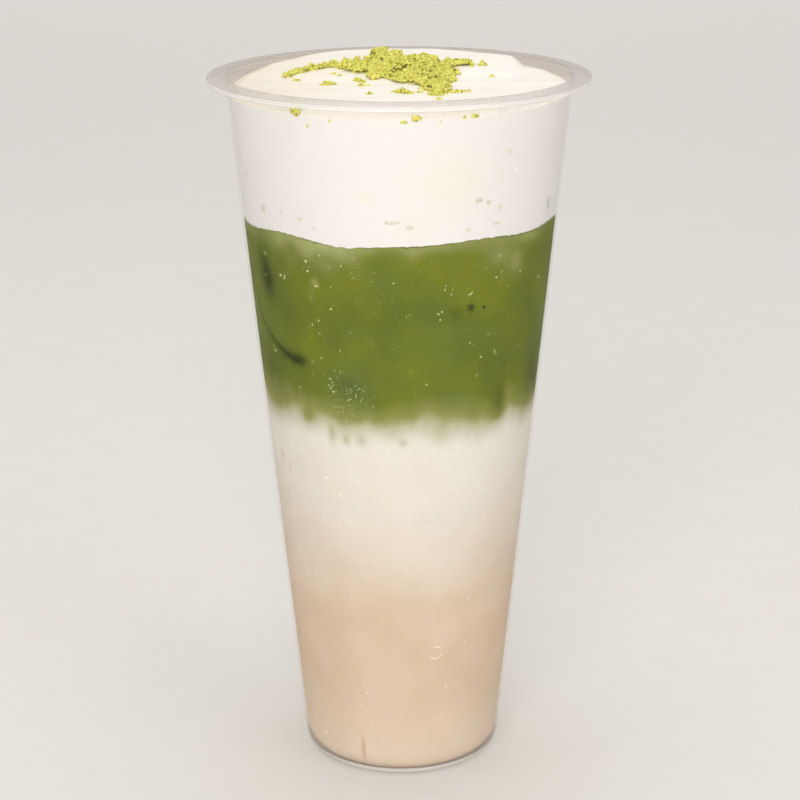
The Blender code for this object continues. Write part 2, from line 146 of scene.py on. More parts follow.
# A Mix node keeps the sockets of every data type, so its colour ones go by number.
MIX_A, MIX_B, MIX_RESULT = 6, 7, 2


def layered(tree, colour, *coats):
    """Lay coats over a colour, each given as its share and its own colour."""
    for share, coat in coats:
        inputs = {0: share, MIX_A: colour, MIX_B: coat}
        colour = add(tree, "Mix", inputs, MIX_RESULT, data_type="RGBA")
    return colour


# %% [markdown]
# ## Studio
#
# The drink stands on a plain pale floor under soft light. Soft light comes from lamps
# that are large for their distance. The wall of this cup leans outward, so from this
# camera it mirrors the floor in front of it and never the lamps, which is why its
# colours show so clearly. A very white floor would still veil the green with its
# mirror image, so the floor is a pale warm grey.

# %% Floor and soft light
FLOOR_SIZE = 12.0
# Faint mottles of the paper are some 17 mm apart.
MOTTLES_PER_METRE = 60.0
LIGHT_WHITE = (1.0, 0.995, 0.985)


def make_floor():
    mesh = bpy.data.meshes.new("studio_floor")
    bm = bmesh.new()
    bmesh.ops.create_grid(bm, x_segments=2, y_segments=2, size=FLOOR_SIZE / 2)
    bm.to_mesh(mesh)
    bm.free()
    floor = bpy.data.objects.new("studio_floor", mesh)
    bpy.context.scene.collection.objects.link(floor)
    material, tree, place = new_material("matt_paper_floor")
    mottle = add(tree, "TexNoise", {"Vector": place, "Scale": MOTTLES_PER_METRE, "Detail": 4.0})
    surface = add(tree, "BsdfPrincipled", {
        "Base Color": layered(tree, "E8E5E0", (mottle, "E4E1DB")),
        "Roughness": 0.8,
        "Specular IOR Level": 0.1,
    })
    mesh.materials.append(surfaced(material, surface))
    floor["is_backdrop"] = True


def make_softbox(name, place, target, width, height, power):
    """A rectangular lamp that faces a target point."""
    lamp = bpy.data.lights.new(name, "AREA")
    lamp.shape = "RECTANGLE"
    lamp.size = width
    lamp.size_y = height
    lamp.energy = power
    lamp.color = LIGHT_WHITE
    softbox = bpy.data.objects.new(name, lamp)
    bpy.context.scene.collection.objects.link(softbox)
    softbox.location = place
    softbox.rotation_euler = (Vector(target) - Vector(place)).to_track_quat("-Z", "Y").to_euler()


def make_world(strength):
    world = bpy.data.worlds.new("white_room")
    world.use_nodes = True
    background = world.node_tree.nodes["Background"]
    background.inputs["Color"].default_value = (1.0, 0.995, 0.99, 1.0)
    background.inputs["Strength"].default_value = strength
    bpy.context.scene.world = world


make_floor()
make_world(0.55)
make_softbox("front_softbox", (-0.2, -1.4, 0.6), (0, 0, 0.1), 0.9, 0.9, 11.0)
make_softbox("right_softbox", (0.9, -0.8, 0.6), (0, 0, 0.1), 0.6, 0.9, 1.7)
make_softbox("top_softbox", (0.0, 0.1, 1.2), (0, 0, 0.15), 0.8, 0.8, 3.5)
# This one hangs far behind the cup and only keeps the floor there from turning grey.
make_softbox("floor_softbox", (0.0, 2.2, 1.6), (0, 2.4, 0.0), 3.0, 2.0, 16.0)
bpy.context.scene.view_settings.view_transform = "Standard"

# %% [markdown]
# ## Turned shapes
#
# Cup, liquids and foam are all round, so one function turns a half section about the
# cup's axis. Blender's Screw modifier could do it too. A plain grid of points is used
# here because the drink's surfaces are shaped afterwards by height functions, and a
# grid keeps each point's ring and angle at hand.

# %% Turning a half section


def new_piece(name, points, faces):
    mesh = bpy.data.meshes.new(name)
    mesh.from_pydata([tuple(p) for p in points], [], faces)
    mesh.validate()
    mesh.shade_smooth()
    piece = bpy.data.objects.new(name, mesh)
    bpy.context.scene.collection.objects.link(piece)
    return piece


def turned(name, profile, segments, shape=None):
    """Turn (radius, height) points about Z. shape may move each point of the grid."""
    rings, points = [], []
    for radius, z in profile:
        if radius == 0.0:
            rings.append([len(points)] * segments)
            points.append((0.0, 0.0, z))
            continue
        rings.append(range(len(points), len(points) + segments))
        for i in range(segments):
            a = 2 * math.pi * i / segments
            points.append((radius * math.sin(a), -radius * math.cos(a), z))
    if shape:
        points = [shape(*point) for point in points]
    faces = []
    for upper, lower in zip(rings, rings[1:]):
        for i in range(segments):
            j = (i + 1) % segments
            corners = (upper[i], upper[j], lower[j], lower[i])
            faces.append(tuple(dict.fromkeys(corners)))
    piece = new_piece(name, points, faces)
    bm = bmesh.new()
    bm.from_mesh(piece.data)
    bmesh.ops.recalc_face_normals(bm, faces=bm.faces)
    bm.to_mesh(piece.data)
    bm.free()
    # Without sharp edges the shading of two stacked pieces would darken along their seam.
    piece.data.set_sharp_from_angle(angle=math.radians(40))
    return piece


def smooth(value):
    """Ease from 0 to 1 as the value goes from 0 to 1."""
    t = min(max(value, 0.0), 1.0)
    return t * t * (3.0 - 2.0 * t)


# %% [markdown]
# ## The cup
#
# The real cup is injection moulded polypropylene: a tapered wall about 0.8 mm thick, a
# flat flange that a sealing film is welded to, with a short skirt round it, and a
# rounded foot. It has to be a real shell with an inside and an outside, because light
# bends at both, and a single sheet would look like a soap bubble.

# %% Cup sizes
CUP_HEIGHT = 180.0 * MM
RIM_RADIUS = 47.5 * MM
LIP_RADIUS = 42.8 * MM
WALL_THICKNESS = 0.8 * MM
WALL_RADIUS_AT_FOOT = 25.5 * MM
WALL_SLOPE_AT_FOOT = 0.102
WALL_SLOPE_AT_RIM = 0.094
RIM_TOP = CUP_HEIGHT - 0.43 * MM
SKIRT_HEIGHT = 1.47 * MM
SKIRT_THICKNESS = 0.9 * MM
RIM_PLATE = 0.85 * MM
RIM_ROUNDING = 0.3 * MM
LIP_FLARE = 1.4 * MM
CORNER_RUN = 3.9 * MM
CORNER_RISE = 6.2 * MM
FOOT_RING_WIDTH = 2.4 * MM
FOOT_RECESS = 0.6 * MM
FLOOR_THICKNESS = 0.8 * MM
CUP_SEGMENTS = 192


def wall_radius(z):
    """Outer radius of the wall, whose slope eases a little toward the rim."""
    slope_change = WALL_SLOPE_AT_RIM - WALL_SLOPE_AT_FOOT
    return WALL_RADIUS_AT_FOOT + WALL_SLOPE_AT_FOOT * z + slope_change * z * z / (2 * CUP_HEIGHT)


def inner_radius(z):
    """Radius of the cup's inside, drawn in at its rounded bottom corner."""
    t = 1.0 - min(max((z - FOOT_RECESS - FLOOR_THICKNESS) / CORNER_RISE, 0.0), 1.0)
    return wall_radius(z) - WALL_THICKNESS - CORNER_RUN * (1.0 - math.sqrt(1.0 - t * t))


def corner(radius, height, run, rise, steps=10):
    """Quarter ellipse from the wall in to the floor."""
    angles = [math.radians(90) * i / steps for i in range(steps + 1)]
    return [(radius - run * (1 - math.cos(a)), height - rise * math.sin(a)) for a in angles]


def rounded(at, before, after, size=RIM_ROUNDING, steps=4):
    """Points that round one corner of a profile, between its neighbours."""
    at, before, after = Vector(at), Vector(before), Vector(after)
    start = at + (before - at).normalized() * size
    end = at + (after - at).normalized() * size
    points = []
    for i in range(steps + 1):
        t = i / steps
        points.append(tuple((1 - t) ** 2 * start + 2 * t * (1 - t) * at + t * t * end))
    return points


# %% Cup shell


def rim_profile():
    """The lip, the flange and its skirt, with the edges rounded as a mould leaves them."""
    skirt_foot = RIM_TOP - SKIRT_HEIGHT
    skirt_inside = RIM_RADIUS - SKIRT_THICKNESS
    under = RIM_TOP - RIM_PLATE
    lip_start = CUP_HEIGHT - LIP_FLARE
    points = [
        (inner_radius(lip_start), lip_start),
        (LIP_RADIUS, CUP_HEIGHT),
        (RIM_RADIUS, RIM_TOP),
        (RIM_RADIUS, skirt_foot),
        (skirt_inside, skirt_foot),
        (skirt_inside, under),
        (wall_radius(under) + RIM_ROUNDING, under),
        (wall_radius(skirt_foot), skirt_foot),
    ]
    profile = [points[0]]
    for before, at, after in zip(points, points[1:], points[2:]):
        profile += rounded(at, before, after)
    return profile + [points[-1]]


def cup_profile():
    floor = FOOT_RECESS + FLOOR_THICKNESS
    corner_top = floor + CORNER_RISE
    inside = list(reversed(corner(inner_radius(corner_top), corner_top, CORNER_RUN, CORNER_RISE)))
    steps = 12
    heights = [corner_top + (CUP_HEIGHT - LIP_FLARE - corner_top) * i / steps for i in range(1, steps)]
    inside += [(inner_radius(z), z) for z in heights]
    rim = rim_profile()
    outside = [(wall_radius(z), z) for z in reversed(heights)]
    foot = corner(wall_radius(CORNER_RISE), CORNER_RISE, CORNER_RUN, CORNER_RISE)
    ring_inside = foot[-1][0] - FOOT_RING_WIDTH
    under = [(ring_inside, 0.0), (ring_inside - FOOT_RECESS, FOOT_RECESS), (0.0, FOOT_RECESS)]
    return [(0.0, floor)] + inside + rim + outside + foot + under


cup = turned("clear_cup", cup_profile(), CUP_SEGMENTS)
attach(cup, "root")
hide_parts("cup")
print("cup faces:", len(cup.data.polygons))


def store(piece, name, measure):
    """Keep one number for each point of a piece's mesh, for its material to read."""
    values = [measure(*vertex.co) for vertex in piece.data.vertices]
    piece.data.attributes.new(name, "FLOAT", "POINT").data.foreach_set("value", values)


# Painted shade: the solid corners of the rim gather less light than its faces, so they are
# painted as fine dark lines.
RIM_SHADE_LINES = (
    (LIP_RADIUS + 0.1 * MM, CUP_HEIGHT, 0.85), (RIM_RADIUS, RIM_TOP, 0.6),
    (RIM_RADIUS, RIM_TOP - SKIRT_HEIGHT, 0.7),
)
RIM_SHADE_WIDTH = 0.2 * MM


def rim_shade_line(x, y, z):
    """How dark the painted shade of the nearest corner line of the rim makes a place."""
    reach = math.hypot(x, y)
    away = [(math.hypot(reach - r, z - height) / RIM_SHADE_WIDTH, dark) for r, height, dark in RIM_SHADE_LINES]
    return max(dark * math.exp(-distance * distance) for distance, dark in away)


store(cup, "rim_shade_line", rim_shade_line)

# %% [markdown]
# Polypropylene is never as clear as glass. It is faintly milky, and where light runs a
# long way through it, in the rim and the foot, it looks warm grey. So the material
# mixes clear plastic with a little milky plastic, and the milky share grows toward the
# rim and the foot. Lamps are let straight through, because light that had to find its
# way to the drink by refraction alone would reach it only as noise.

# %% Moulded polypropylene
POLYPROPYLENE_IOR = 1.49
RIM_MILKY = 0.4
FOOT_MILKY = 0.64
WALL_MILKY = 0.006
RIM_STARTS = 178.0 * MM
BARE_WALL_STARTS = 176.2 * MM
FOOT_ENDS = 2.4 * MM
# Zones of height in which a look comes in: where it starts, and where it is full
RIM_BEGINS = (RIM_STARTS - 0.2 * MM, RIM_STARTS + 0.2 * MM)
BARE_WALL_BEGINS = (BARE_WALL_STARTS, BARE_WALL_STARTS + 0.6 * MM)
FOOT_BEGINS = (FOOT_ENDS + 0.2 * MM, FOOT_ENDS - 0.1 * MM)
FOOT_SHADE_LINE = (FOOT_ENDS - 0.45 * MM, FOOT_ENDS + 0.05 * MM)
FOOT_COLOUR_ENDS = (10 * MM, 11 * MM)
# A place times this is its direction from the cup's axis.
LEVEL = (1.0, 1.0, 0.0)
# Share of light that passes the thin wall unbent, which keeps its mirror image faint
STRAIGHT_SHARE = 0.78


def moulded_polypropylene():
    """Clear, glossy, faintly milky plastic: sharp highlights, warm grey edges, painted light and shade on the
    rim.
    """
    material, tree, place = new_material("moulded_polypropylene")
    height = add(tree, "SeparateXYZ", [place], "Z")
    rim = add(tree, "MapRange", [height, *RIM_BEGINS, WALL_MILKY, RIM_MILKY])
    foot = add(tree, "MapRange", [height, *FOOT_BEGINS, 0.0, FOOT_MILKY])
    # The rim's corner lines are painted shade.
    corner_shade = add(tree, "Attribute", output="Fac", attribute_name="rim_shade_line")
    # Painted shade: the bare inside of the wall above the foam only sees the inside of the cup, so it is
    # painted grey.
    normal = add(tree, "NewGeometry", output="True Normal")
    radial = add(tree, "VectorMath", [place, LEVEL], operation="MULTIPLY")
    outward = add(tree, "VectorMath", [radial, normal], "Value", operation="DOT_PRODUCT")
    inward = add(tree, "MapRange", [outward, 0.0, -0.02])
    bare = add(tree, "MapRange", [height, *BARE_WALL_BEGINS, 0.0, RIM_MILKY])
    bare = add(tree, "Math", [bare, inward], operation="MULTIPLY")
    milky_share = rim
    for share in (foot, corner_shade, bare):
        milky_share = add(tree, "Math", [milky_share, share], operation="MAXIMUM")

    # Painted shade: a dark line is painted where the drink ends and the solid plastic of the foot begins.
    thread = add(tree, "MapRange", [height, *FOOT_SHADE_LINE], interpolation_type="SMOOTHERSTEP")
    foot_colour = layered(tree, "FFFBF6", (thread, "D2C6BB"))
    # Painted light: the skirt gathers light from both its faces, so it is painted paler than the flange's
    # top.
    facing = add(tree, "SeparateXYZ", [normal], "Z")
    upward = add(tree, "MapRange", [facing, 0.3, 0.8])
    rim_colour = layered(
        tree, "FFFEFC", (upward, "CBC1B9"), (inward, "BCB1A5"), (corner_shade, "8D817B"))
    above_foot = add(tree, "MapRange", [height, *FOOT_COLOUR_ENDS])
    milky_colour = layered(tree, foot_colour, (above_foot, rim_colour))

    # Mould marks are far finer than a pixel, so they are drawn 3 mm wide and very shallow.
    ripple = add(tree, "TexNoise", {"Vector": place, "Scale": 1 / (3 * MM), "Detail": 2.0})
    relief = add(tree, "Bump", {"Height": ripple, "Strength": 0.04, "Distance": 0.1 * MM})
    clear = add(tree, "BsdfPrincipled", {
        "Base Color": "F8F5F1",
        "Roughness": 0.05,
        "IOR": POLYPROPYLENE_IOR,
        "Transmission Weight": 1.0,
        "Specular IOR Level": 0.12,
        "Normal": relief,
    })
    milky = add(tree, "BsdfPrincipled", {
        "Base Color": milky_colour,
        "Roughness": 0.25,
        "IOR": POLYPROPYLENE_IOR,
    })
    passing = add(tree, "BsdfTransparent", {"Color": (0.985, 0.98, 0.975, 1.0)})
    clear = add(tree, "MixShader", [STRAIGHT_SHARE, clear, passing])
    plastic = add(tree, "MixShader", [milky_share, clear, milky])
    lamp_ray = add(tree, "LightPath", output="Is Shadow Ray")
    surface = add(tree, "MixShader", [lamp_ray, plastic, passing])
    return surfaced(material, surface)


cup.data.materials.append(moulded_polypropylene())

# %% [markdown]
# ## Where one layer ends and the next begins
#
# Each layer is denser than the one above it, so they lie level, but pouring leaves slow
# waves round the wall. Each boundary is a height plus a few smooth swells, given by
# their angle from the front. That is easier to steer than one noise pattern, and it
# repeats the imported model's boundaries.

# %% Boundaries
MILK_TEA_TOP = 74.0 * MM
MILK_TOP = 98.1 * MM
MATCHA_TOP = 145.1 * MM
FOAM_DEPTH = 3.3 * MM
FOAM_TILT = 0.03
FOAM_EDGE_DROP = 0.35 * MM
FOAM_EDGE_WIDTH = 1.2 * MM
INTO_WALL = 0.15 * MM

# Angle from the front and half width in degrees, and height
MATCHA_TOP_WAVES = (
    (-46, 13, 1.0 * MM), (-20, 9, -0.6 * MM), (30, 17, 0.8 * MM),
    (71, 12, 0.9 * MM), (130, 24, -0.5 * MM), (-120, 26, 0.6 * MM),
)
MILK_TOP_WAVES = (
    (-62, 12, 0.8 * MM), (-31, 5, 1.3 * MM), (31, 15, -1.1 * MM),
    (47, 6, 1.6 * MM), (80, 14, -1.8 * MM), (150, 30, 0.9 * MM), (-130, 22, -1.2 * MM),
)
MILK_TEA_TOP_WAVES = ((-40, 35, 1.5 * MM), (60, 40, -1.5 * MM), (175, 30, 1.0 * MM))


def angle_of(x, y):
    """Angle round the cup in degrees: 0 at the front, positive to the right."""
    return math.degrees(math.atan2(x, -y))


def bell(angle, centre, half_width):
    """1 at the centre angle, falling smoothly to 0 a few half widths away."""
    away = (angle - centre + 180.0) % 360.0 - 180.0
    return math.exp(-((away / half_width) ** 2))


def boundary(level, waves):
    """Height function of a boundary: level at the axis, waved toward the wall."""
    def height(x, y):
        reach = min(math.hypot(x, y) / inner_radius(level), 1.0)
        angle = angle_of(x, y)
        return level + reach * reach * sum(rise * bell(angle, at, width) for at, width, rise in waves)
    return height


matcha_top = boundary(MATCHA_TOP, MATCHA_TOP_WAVES)
milk_top = boundary(MILK_TOP, MILK_TOP_WAVES)
milk_tea_top = boundary(MILK_TEA_TOP, MILK_TEA_TOP_WAVES)

# %% Layer shapes
DRINK_SEGMENTS = 360
FLAT_RINGS = (0.0, 12 * MM, 24 * MM)


def layer_shape(bottom, top, under, over):
    """Moves a nominal layer's points between two surfaces, and its side to the wall."""
    def move(x, y, z):
        part = (z - bottom) / (top - bottom)
        reach = math.hypot(x, y)
        at_wall = reach > inner_radius(z) - 1 * MM
        z = under(x, y) + part * (over(x, y) - under(x, y))
        if at_wall:
            scale = (inner_radius(z) + INTO_WALL) / reach
            x, y = x * scale, y * scale
        return x, y, z
    return move


def layer_profile(bottom, top, row):
    rows = round((top - bottom) / row)
    side = [(inner_radius(z), z) for z in (top + (bottom - top) * i / rows for i in range(rows + 1))]
    return [(r, top) for r in FLAT_RINGS] + side + [(r, bottom) for r in reversed(FLAT_RINGS)]


matcha = turned("matcha_tea", layer_profile(MILK_TOP, MATCHA_TOP, 0.5 * MM), DRINK_SEGMENTS,
                layer_shape(MILK_TOP, MATCHA_TOP, milk_top, matcha_top))
milk = turned("cold_milk", layer_profile(MILK_TEA_TOP, MILK_TOP, 0.5 * MM), DRINK_SEGMENTS,
              layer_shape(MILK_TEA_TOP, MILK_TOP, milk_tea_top, milk_top))


def milk_tea_profile():
    """The bottom layer, which follows the rounded corner down to the floor."""
    floor = FOOT_RECESS + FLOOR_THICKNESS
    corner_top = floor + CORNER_RISE
    rows = 36
    side = [MILK_TEA_TOP + (corner_top - MILK_TEA_TOP) * i / rows for i in range(rows)]
    points = [(r, MILK_TEA_TOP) for r in FLAT_RINGS]
    points += [(inner_radius(z) + INTO_WALL, z) for z in side]
    points += corner(inner_radius(corner_top) + INTO_WALL, corner_top, CORNER_RUN, CORNER_RISE + INTO_WALL)
    return points + [(0.0, floor - INTO_WALL)]


def milk_tea_shape(x, y, z):
    """Waves the top of the bottom layer and lets its side follow over the first rows."""
    ease = smooth((z - MILK_TEA_TOP / 2) / (MILK_TEA_TOP / 2))
    new_z = z + ease * (milk_tea_top(x, y) - MILK_TEA_TOP)
    if math.hypot(x, y) > inner_radius(z) - 1 * MM and ease > 0.0:
        scale = (inner_radius(new_z) + INTO_WALL) / math.hypot(x, y)
        x, y = x * scale, y * scale
    return x, y, new_z


milk_tea = turned("milk_tea", milk_tea_profile(), DRINK_SEGMENTS, milk_tea_shape)
for piece, node, slot in (
    (matcha, "matcha_layer", "matcha"),
    (milk, "milk_layer", "milk"),
    (milk_tea, "milk_tea_layer", "milk_tea"),
):
    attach(piece, "root")
    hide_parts(node)
    print(piece.name, "faces:", len(piece.data.polygons))

# %% [markdown]
# ## What the liquids look like through the wall
#
# Matcha sinks into the milk in short tongues, and the milk fades into the tan tea over
# several centimetres. Ice that has sunk shows only as painted shade, soft dark shapes where
# it nears the wall, and foam clouds the top of the tea. These are measured as shares
# between 0 and 1 and stored on the mesh's points, and the material mixes its colours by them.
# One material serves all three liquids, so no seam shows where their pieces meet.

# %% Shares stored on the drink's points
FADE_DEPTH = 18.0 * MM
FADE_CENTRE = 3.6 * MM
TEA_STARTS = 92.0 * MM
TEA_FULL = 40.0 * MM
TEA_DRIFT = 5.0 * MM
# Tongues of matcha in the milk, large and small: height, steps of their noise, and seed
TONGUES = ((3.4 * MM, 14.0, 24 * MM, 3.0), (1.3 * MM, 5.0, 7 * MM, 8.0))

# Painted shadows of sunken ice: angle, height in mm, half sizes in degrees and mm, darkness
ICE_SHADOWS = (
    (-57.8, 132.8, 4.2, 5.0, 0.78), (-60.5, 137.0, 3.6, 4.4, 0.3), (-43.2, 113.8, 5.2, 1.9, 0.9),
    (-51.0, 114.4, 4.4, 1.6, 0.45),
    (43.5, 102.0, 3.6, 6.0, 0.42), (69.0, 105.0, 8.0, 7.0, 0.4), (-62.0, 108.0, 13.0, 8.0, 0.3),
    (58.0, 122.0, 10.0, 12.0, 0.16), (26.6, 128.8, 1.3, 1.0, 0.95), (21.0, 127.5, 3.0, 2.0, 0.3),
    (-2.0, 126.0, 10.0, 6.0, 0.12), (36.0, 112.0, 9.0, 5.0, 0.1), (-48.0, 124.0, 8.0, 6.0, 0.14),
    (130, 120.0, 9.0, 8.0, 0.5), (-140, 128.0, 10.0, 6.0, 0.5), (175, 112.0, 8.0, 5.0, 0.4),
)
# Painted shade along the edge of a cube near the wall: angle, height and darkness of points along it
ICE_EDGE = (
    (-77.8, 134.1, 0.35), (-72.9, 128.4, 0.4), (-69.8, 124.0, 0.4), (-66.5, 120.7, 0.45),
    (-62.2, 118.4, 0.55), (-55.3, 115.9, 0.75), (-50.5, 114.7, 0.9), (-46.1, 113.9, 1.0), (-40.9, 113.6, 0.7),
)
ICE_EDGE_WIDTH = 0.95
ICE_EDGE_FROM, ICE_EDGE_TO = -85, -35
# Painted bluish shade of a cube that lies a little deeper
DEEP_ICE_SHADE = (
    (-20.5, 108.8, 8.0, 5.0, 0.7), (22.0, 104.0, 7.0, 5.0, 0.4), (12.0, 122.0, 12.0, 7.0, 0.25),
    (-6.0, 136.0, 6.0, 4.0, 0.25), (100, 118.0, 12.0, 8.0, 0.6),
)
# Foam clouds the top of the tea: angle, half width in degrees, depth in mm, strength
CLOUDED_TOP = (
    (-40, 20.0, 4.2, 0.62), (-20, 12.0, 2.6, 0.5), (33, 17.0, 3.4, 0.34), (54, 10.0, 3.0, 0.3),
    (8, 14.0, 2.2, 0.36), (-72, 8.0, 3.0, 0.25), (-110, 22.0, 3.5, 0.45), (145, 30.0, 4.0, 0.45),
)
# Milky clouds further down: angle, height in mm, half sizes in degrees and mm, strength
CLOUDS = (
    (38, 141.0, 6.0, 2.4, 0.34), (46, 138.0, 4.5, 2.8, 0.28), (-28, 139.5, 7.0, 1.8, 0.16),
    (-26, 101.5, 16.0, 3.0, 0.12), (140, 136.0, 14.0, 4.0, 0.2), (-32.3, 134.9, 1.4, 0.9, 0.45),
)
# Drops of matcha in the milk: angle, height in mm, half sizes in degrees and mm, strength
DROPS = (
    (-29.2, 96.2, 1.9, 2.6, 0.32), (-22.8, 94.9, 1.4, 1.2, 0.28), (-16.0, 95.2, 2.2, 1.6, 0.22),
    (1.0, 95.0, 1.8, 1.1, 0.24), (43.6, 102.2, 5.0, 5.0, 0.7), (-41.0, 99.4, 4.0, 2.6, 0.4),
    (-61.0, 101.5, 12.0, 5.2, 0.44), (64.0, 101.5, 10.0, 4.6, 0.36), (14.0, 97.5, 8.0, 4.0, 0.1),
    (110, 96.0, 2.2, 2.2, 0.4), (170, 95.0, 2.2, 2.4, 0.35), (-120, 96.5, 2.6, 2.0, 0.4),
)
# Brown streaks that dried on the wall's inside, in the same form
STAINS = (
    (-22.9, 8.8, 1.0, 2.2, 0.7), (-22.7, 5.4, 1.0, 2.2, 0.7), (-63.5, 86.2, 1.2, 1.2, 0.4),
    (-62.6, 84.8, 1.0, 1.0, 0.35), (-57.1, 83.4, 1.0, 1.4, 0.3), (-61.4, 75.8, 1.0, 1.0, 0.35),
    (130, 60.0, 1.0, 2.4, 0.5),
)


def patch(angle, z, centre, height, half_angle, half_height, strength):
    """Strength of one soft oval patch at one place on the wall."""
    rise = (z - height * MM) / (half_height * MM)
    return strength * bell(angle, centre, half_angle) * math.exp(-rise * rise)


def patches(angle, z, shapes):
    """Sum of soft oval patches at one place on the wall."""
    return min(sum(patch(angle, z, *shape) for shape in shapes), 1.0)


def beside(here, start, end):
    """How far along a line a place lies, as a share of its length, and how far off it."""
    along = end - start
    part = min(max((here - start).dot(along) / along.length_squared, 0.0), 1.0)
    return part, (here - start - part * along).length


def ice_shade_share(x, y, z):
    """How dark the painted shade of the ice makes a place: its soft shapes, and the edge of one cube."""
    angle = angle_of(x, y)
    share = patches(angle, z, ICE_SHADOWS)
    if not ICE_EDGE_FROM < angle < ICE_EDGE_TO:
        return share
    mm_per_degree = math.radians(1.0) * math.hypot(x, y) / MM
    here = Vector((angle * mm_per_degree, z / MM))
    for (a0, z0, dark0), (a1, z1, dark1) in zip(ICE_EDGE, ICE_EDGE[1:]):
        start, end = Vector((a0 * mm_per_degree, z0)), Vector((a1 * mm_per_degree, z1))
        part, away = beside(here, start, end)
        away /= ICE_EDGE_WIDTH
        share = max(share, (dark0 + part * (dark1 - dark0)) * math.exp(-away * away))
    return share


DEGREES_IN_RADIAN = 57.3


def uneven(angle, z, angle_step, height_step, seed):
    """Smooth noise round the wall, whose swells are as wide and high as the two steps."""
    a = math.radians(angle)
    turns = DEGREES_IN_RADIAN / angle_step
    return noise.noise(Vector((math.sin(a) * turns, math.cos(a) * turns, z / height_step + seed)))


def cloud_share(x, y, z):
    """How much foam clouds a place: most right under the foam, in uneven depths."""
    angle = angle_of(x, y)
    depth = max(matcha_top(x, y) - z, 0.0) / MM
    depth *= 1.0 - 0.9 * uneven(angle, z, 9.0, 6 * MM, 12.0)
    share = patches(angle, z, CLOUDS)
    for centre, half_angle, deep, strength in CLOUDED_TOP:
        share += strength * bell(angle, centre, half_angle) * math.exp(-(depth / deep) ** 2)
    return min(share, 1.0)


def matcha_share(x, y, z):
    """How much matcha a place holds: an uneven fade into the milk, and sunken drops."""
    angle = angle_of(x, y)
    edge = milk_top(x, y)
    for height, angle_step, height_step, seed in TONGUES:
        edge += height * uneven(angle, z, angle_step, height_step, seed)
    share = smooth((z - edge - FADE_CENTRE) / FADE_DEPTH + 0.5)
    for drop in DROPS:
        share += patch(angle, z, *drop) * (1.0 - share)
    return share


def tea_share(x, y, z):
    """How much milk tea a place holds: a slow fade, which lies lower at the front right."""
    angle = angle_of(x, y)
    drift = TEA_DRIFT * uneven(angle, z, 40.0, 40 * MM, 5.0) - TEA_DRIFT * bell(angle, 18, 26)
    return smooth((TEA_STARTS + drift - z) / (TEA_STARTS - TEA_FULL))


DRINK_SHARES = {
    "matcha_share": matcha_share,
    "tea_share": tea_share,
    "ice_shadow": ice_shade_share,
    "deep_ice_shade": lambda x, y, z: patches(angle_of(x, y), z, DEEP_ICE_SHADE),
    "cloud": cloud_share,
    "stain": lambda x, y, z: patches(angle_of(x, y), z, STAINS),
    "under_foam": lambda x, y, z: (matcha_top(x, y) - z) / MM,
}
for piece in (matcha, milk, milk_tea):
    for name, measure in DRINK_SHARES.items():
        store(piece, name, measure)

# %% Cloudy drink
# The zone of height in which the painted light from the foot grows to its full share
FOOT_GLOW = (26 * MM, 3 * MM)
FOOT_GLOW_SHARE = 0.6


def cloudy_drink():
    """Opaque tea and milk against a clear wall: soft fades, no relief, no gloss of its own."""
    material, tree, place = new_material("layered_milk_drink")
    stored = {name: add(tree, "Attribute", output="Fac", attribute_name=name) for name in DRINK_SHARES}
    # Swirls of tea stirred by the pour are some 12 mm wide, tea grains about 1 mm.
    swirl = add(tree, "TexNoise", {"Vector": place, "Scale": 1 / (12 * MM), "Detail": 3.0})
    stirred = add(tree, "MapRange", [swirl, 0.35, 0.65])
    grain = add(tree, "TexNoise", {"Vector": place, "Scale": 1 / (1.2 * MM), "Detail": 2.0})
    clouding = add(tree, "MapRange", [swirl, 0.3, 0.7, 0.5, 1.4])
    clouded = add(tree, "Math", [stored["cloud"], clouding], operation="MULTIPLY", use_clamp=True)
    # The green carries the painted shade of the sunken ice.
    green = layered(tree, "667125", (stirred, "727D22"), (stored["deep_ice_shade"], "52633B"),
                    (stored["ice_shadow"], "27310F"), (clouded, "B0B47C"))

    # Tea thinned by milk turns yellower before it turns pale, so the fade has a middle colour.
    tea_in_milk = add(tree, "Math", [grain, 0.1, stored["matcha_share"]],
                      operation="MULTIPLY_ADD", use_clamp=True)
    strong = add(tree, "MapRange", [tea_in_milk, 0.4, 0.95])
    thin = add(tree, "MapRange", [tea_in_milk, 0.04, 0.6])
    # The thick foot passes light into the lowest tea, so that tea is painted paler: painted light.
    height = add(tree, "SeparateXYZ", [place], "Z")
    low = add(tree, "MapRange", [height, *FOOT_GLOW, 0.0, FOOT_GLOW_SHARE])
    milk_colour = layered(tree, "E7E3DA", (stirred, "E4DED4"))
    tea_colour = layered(tree, "DDC6B0", (stirred, "D7BFA6"), (low, "E6D7C7"))
    colour = layered(tree, milk_colour, (stored["tea_share"], tea_colour),
                     (stored["stain"], "C49E80"), (thin, "9A9C5C"), (strong, green))

    # Right under the foam the tea ends in a ragged line of bubbles with a dark thread below.
    ragged = add(tree, "TexNoise", {"Vector": place, "Scale": 1 / (1.5 * MM), "Detail": 4.0})
    depth = add(tree, "Math", [ragged, 1.3, stored["under_foam"]], operation="MULTIPLY_ADD")
    thread = add(tree, "MapRange", [depth, 1.25, 0.85])
    broken = add(tree, "MapRange", [stirred, 0.4, 0.8, 0.15, 0.8])
    thread = add(tree, "Math", [thread, broken], operation="MULTIPLY")
    foam_line = add(tree, "MapRange", [depth, 0.78, 0.66])
    # The drink wets the wall, so no light is mirrored between the two.
    surface = add(tree, "BsdfPrincipled", {
        "Base Color": layered(tree, colour, (thread, "55602B"), (foam_line, "F1EEEB")),
        "Roughness": 0.4,
        "IOR": 1.34,
        "Specular IOR Level": 0.0,
    })
    return surfaced(material, surface)


drink_material = cloudy_drink()
for piece in (matcha, milk, milk_tea):
    piece.data.materials.append(drink_material)

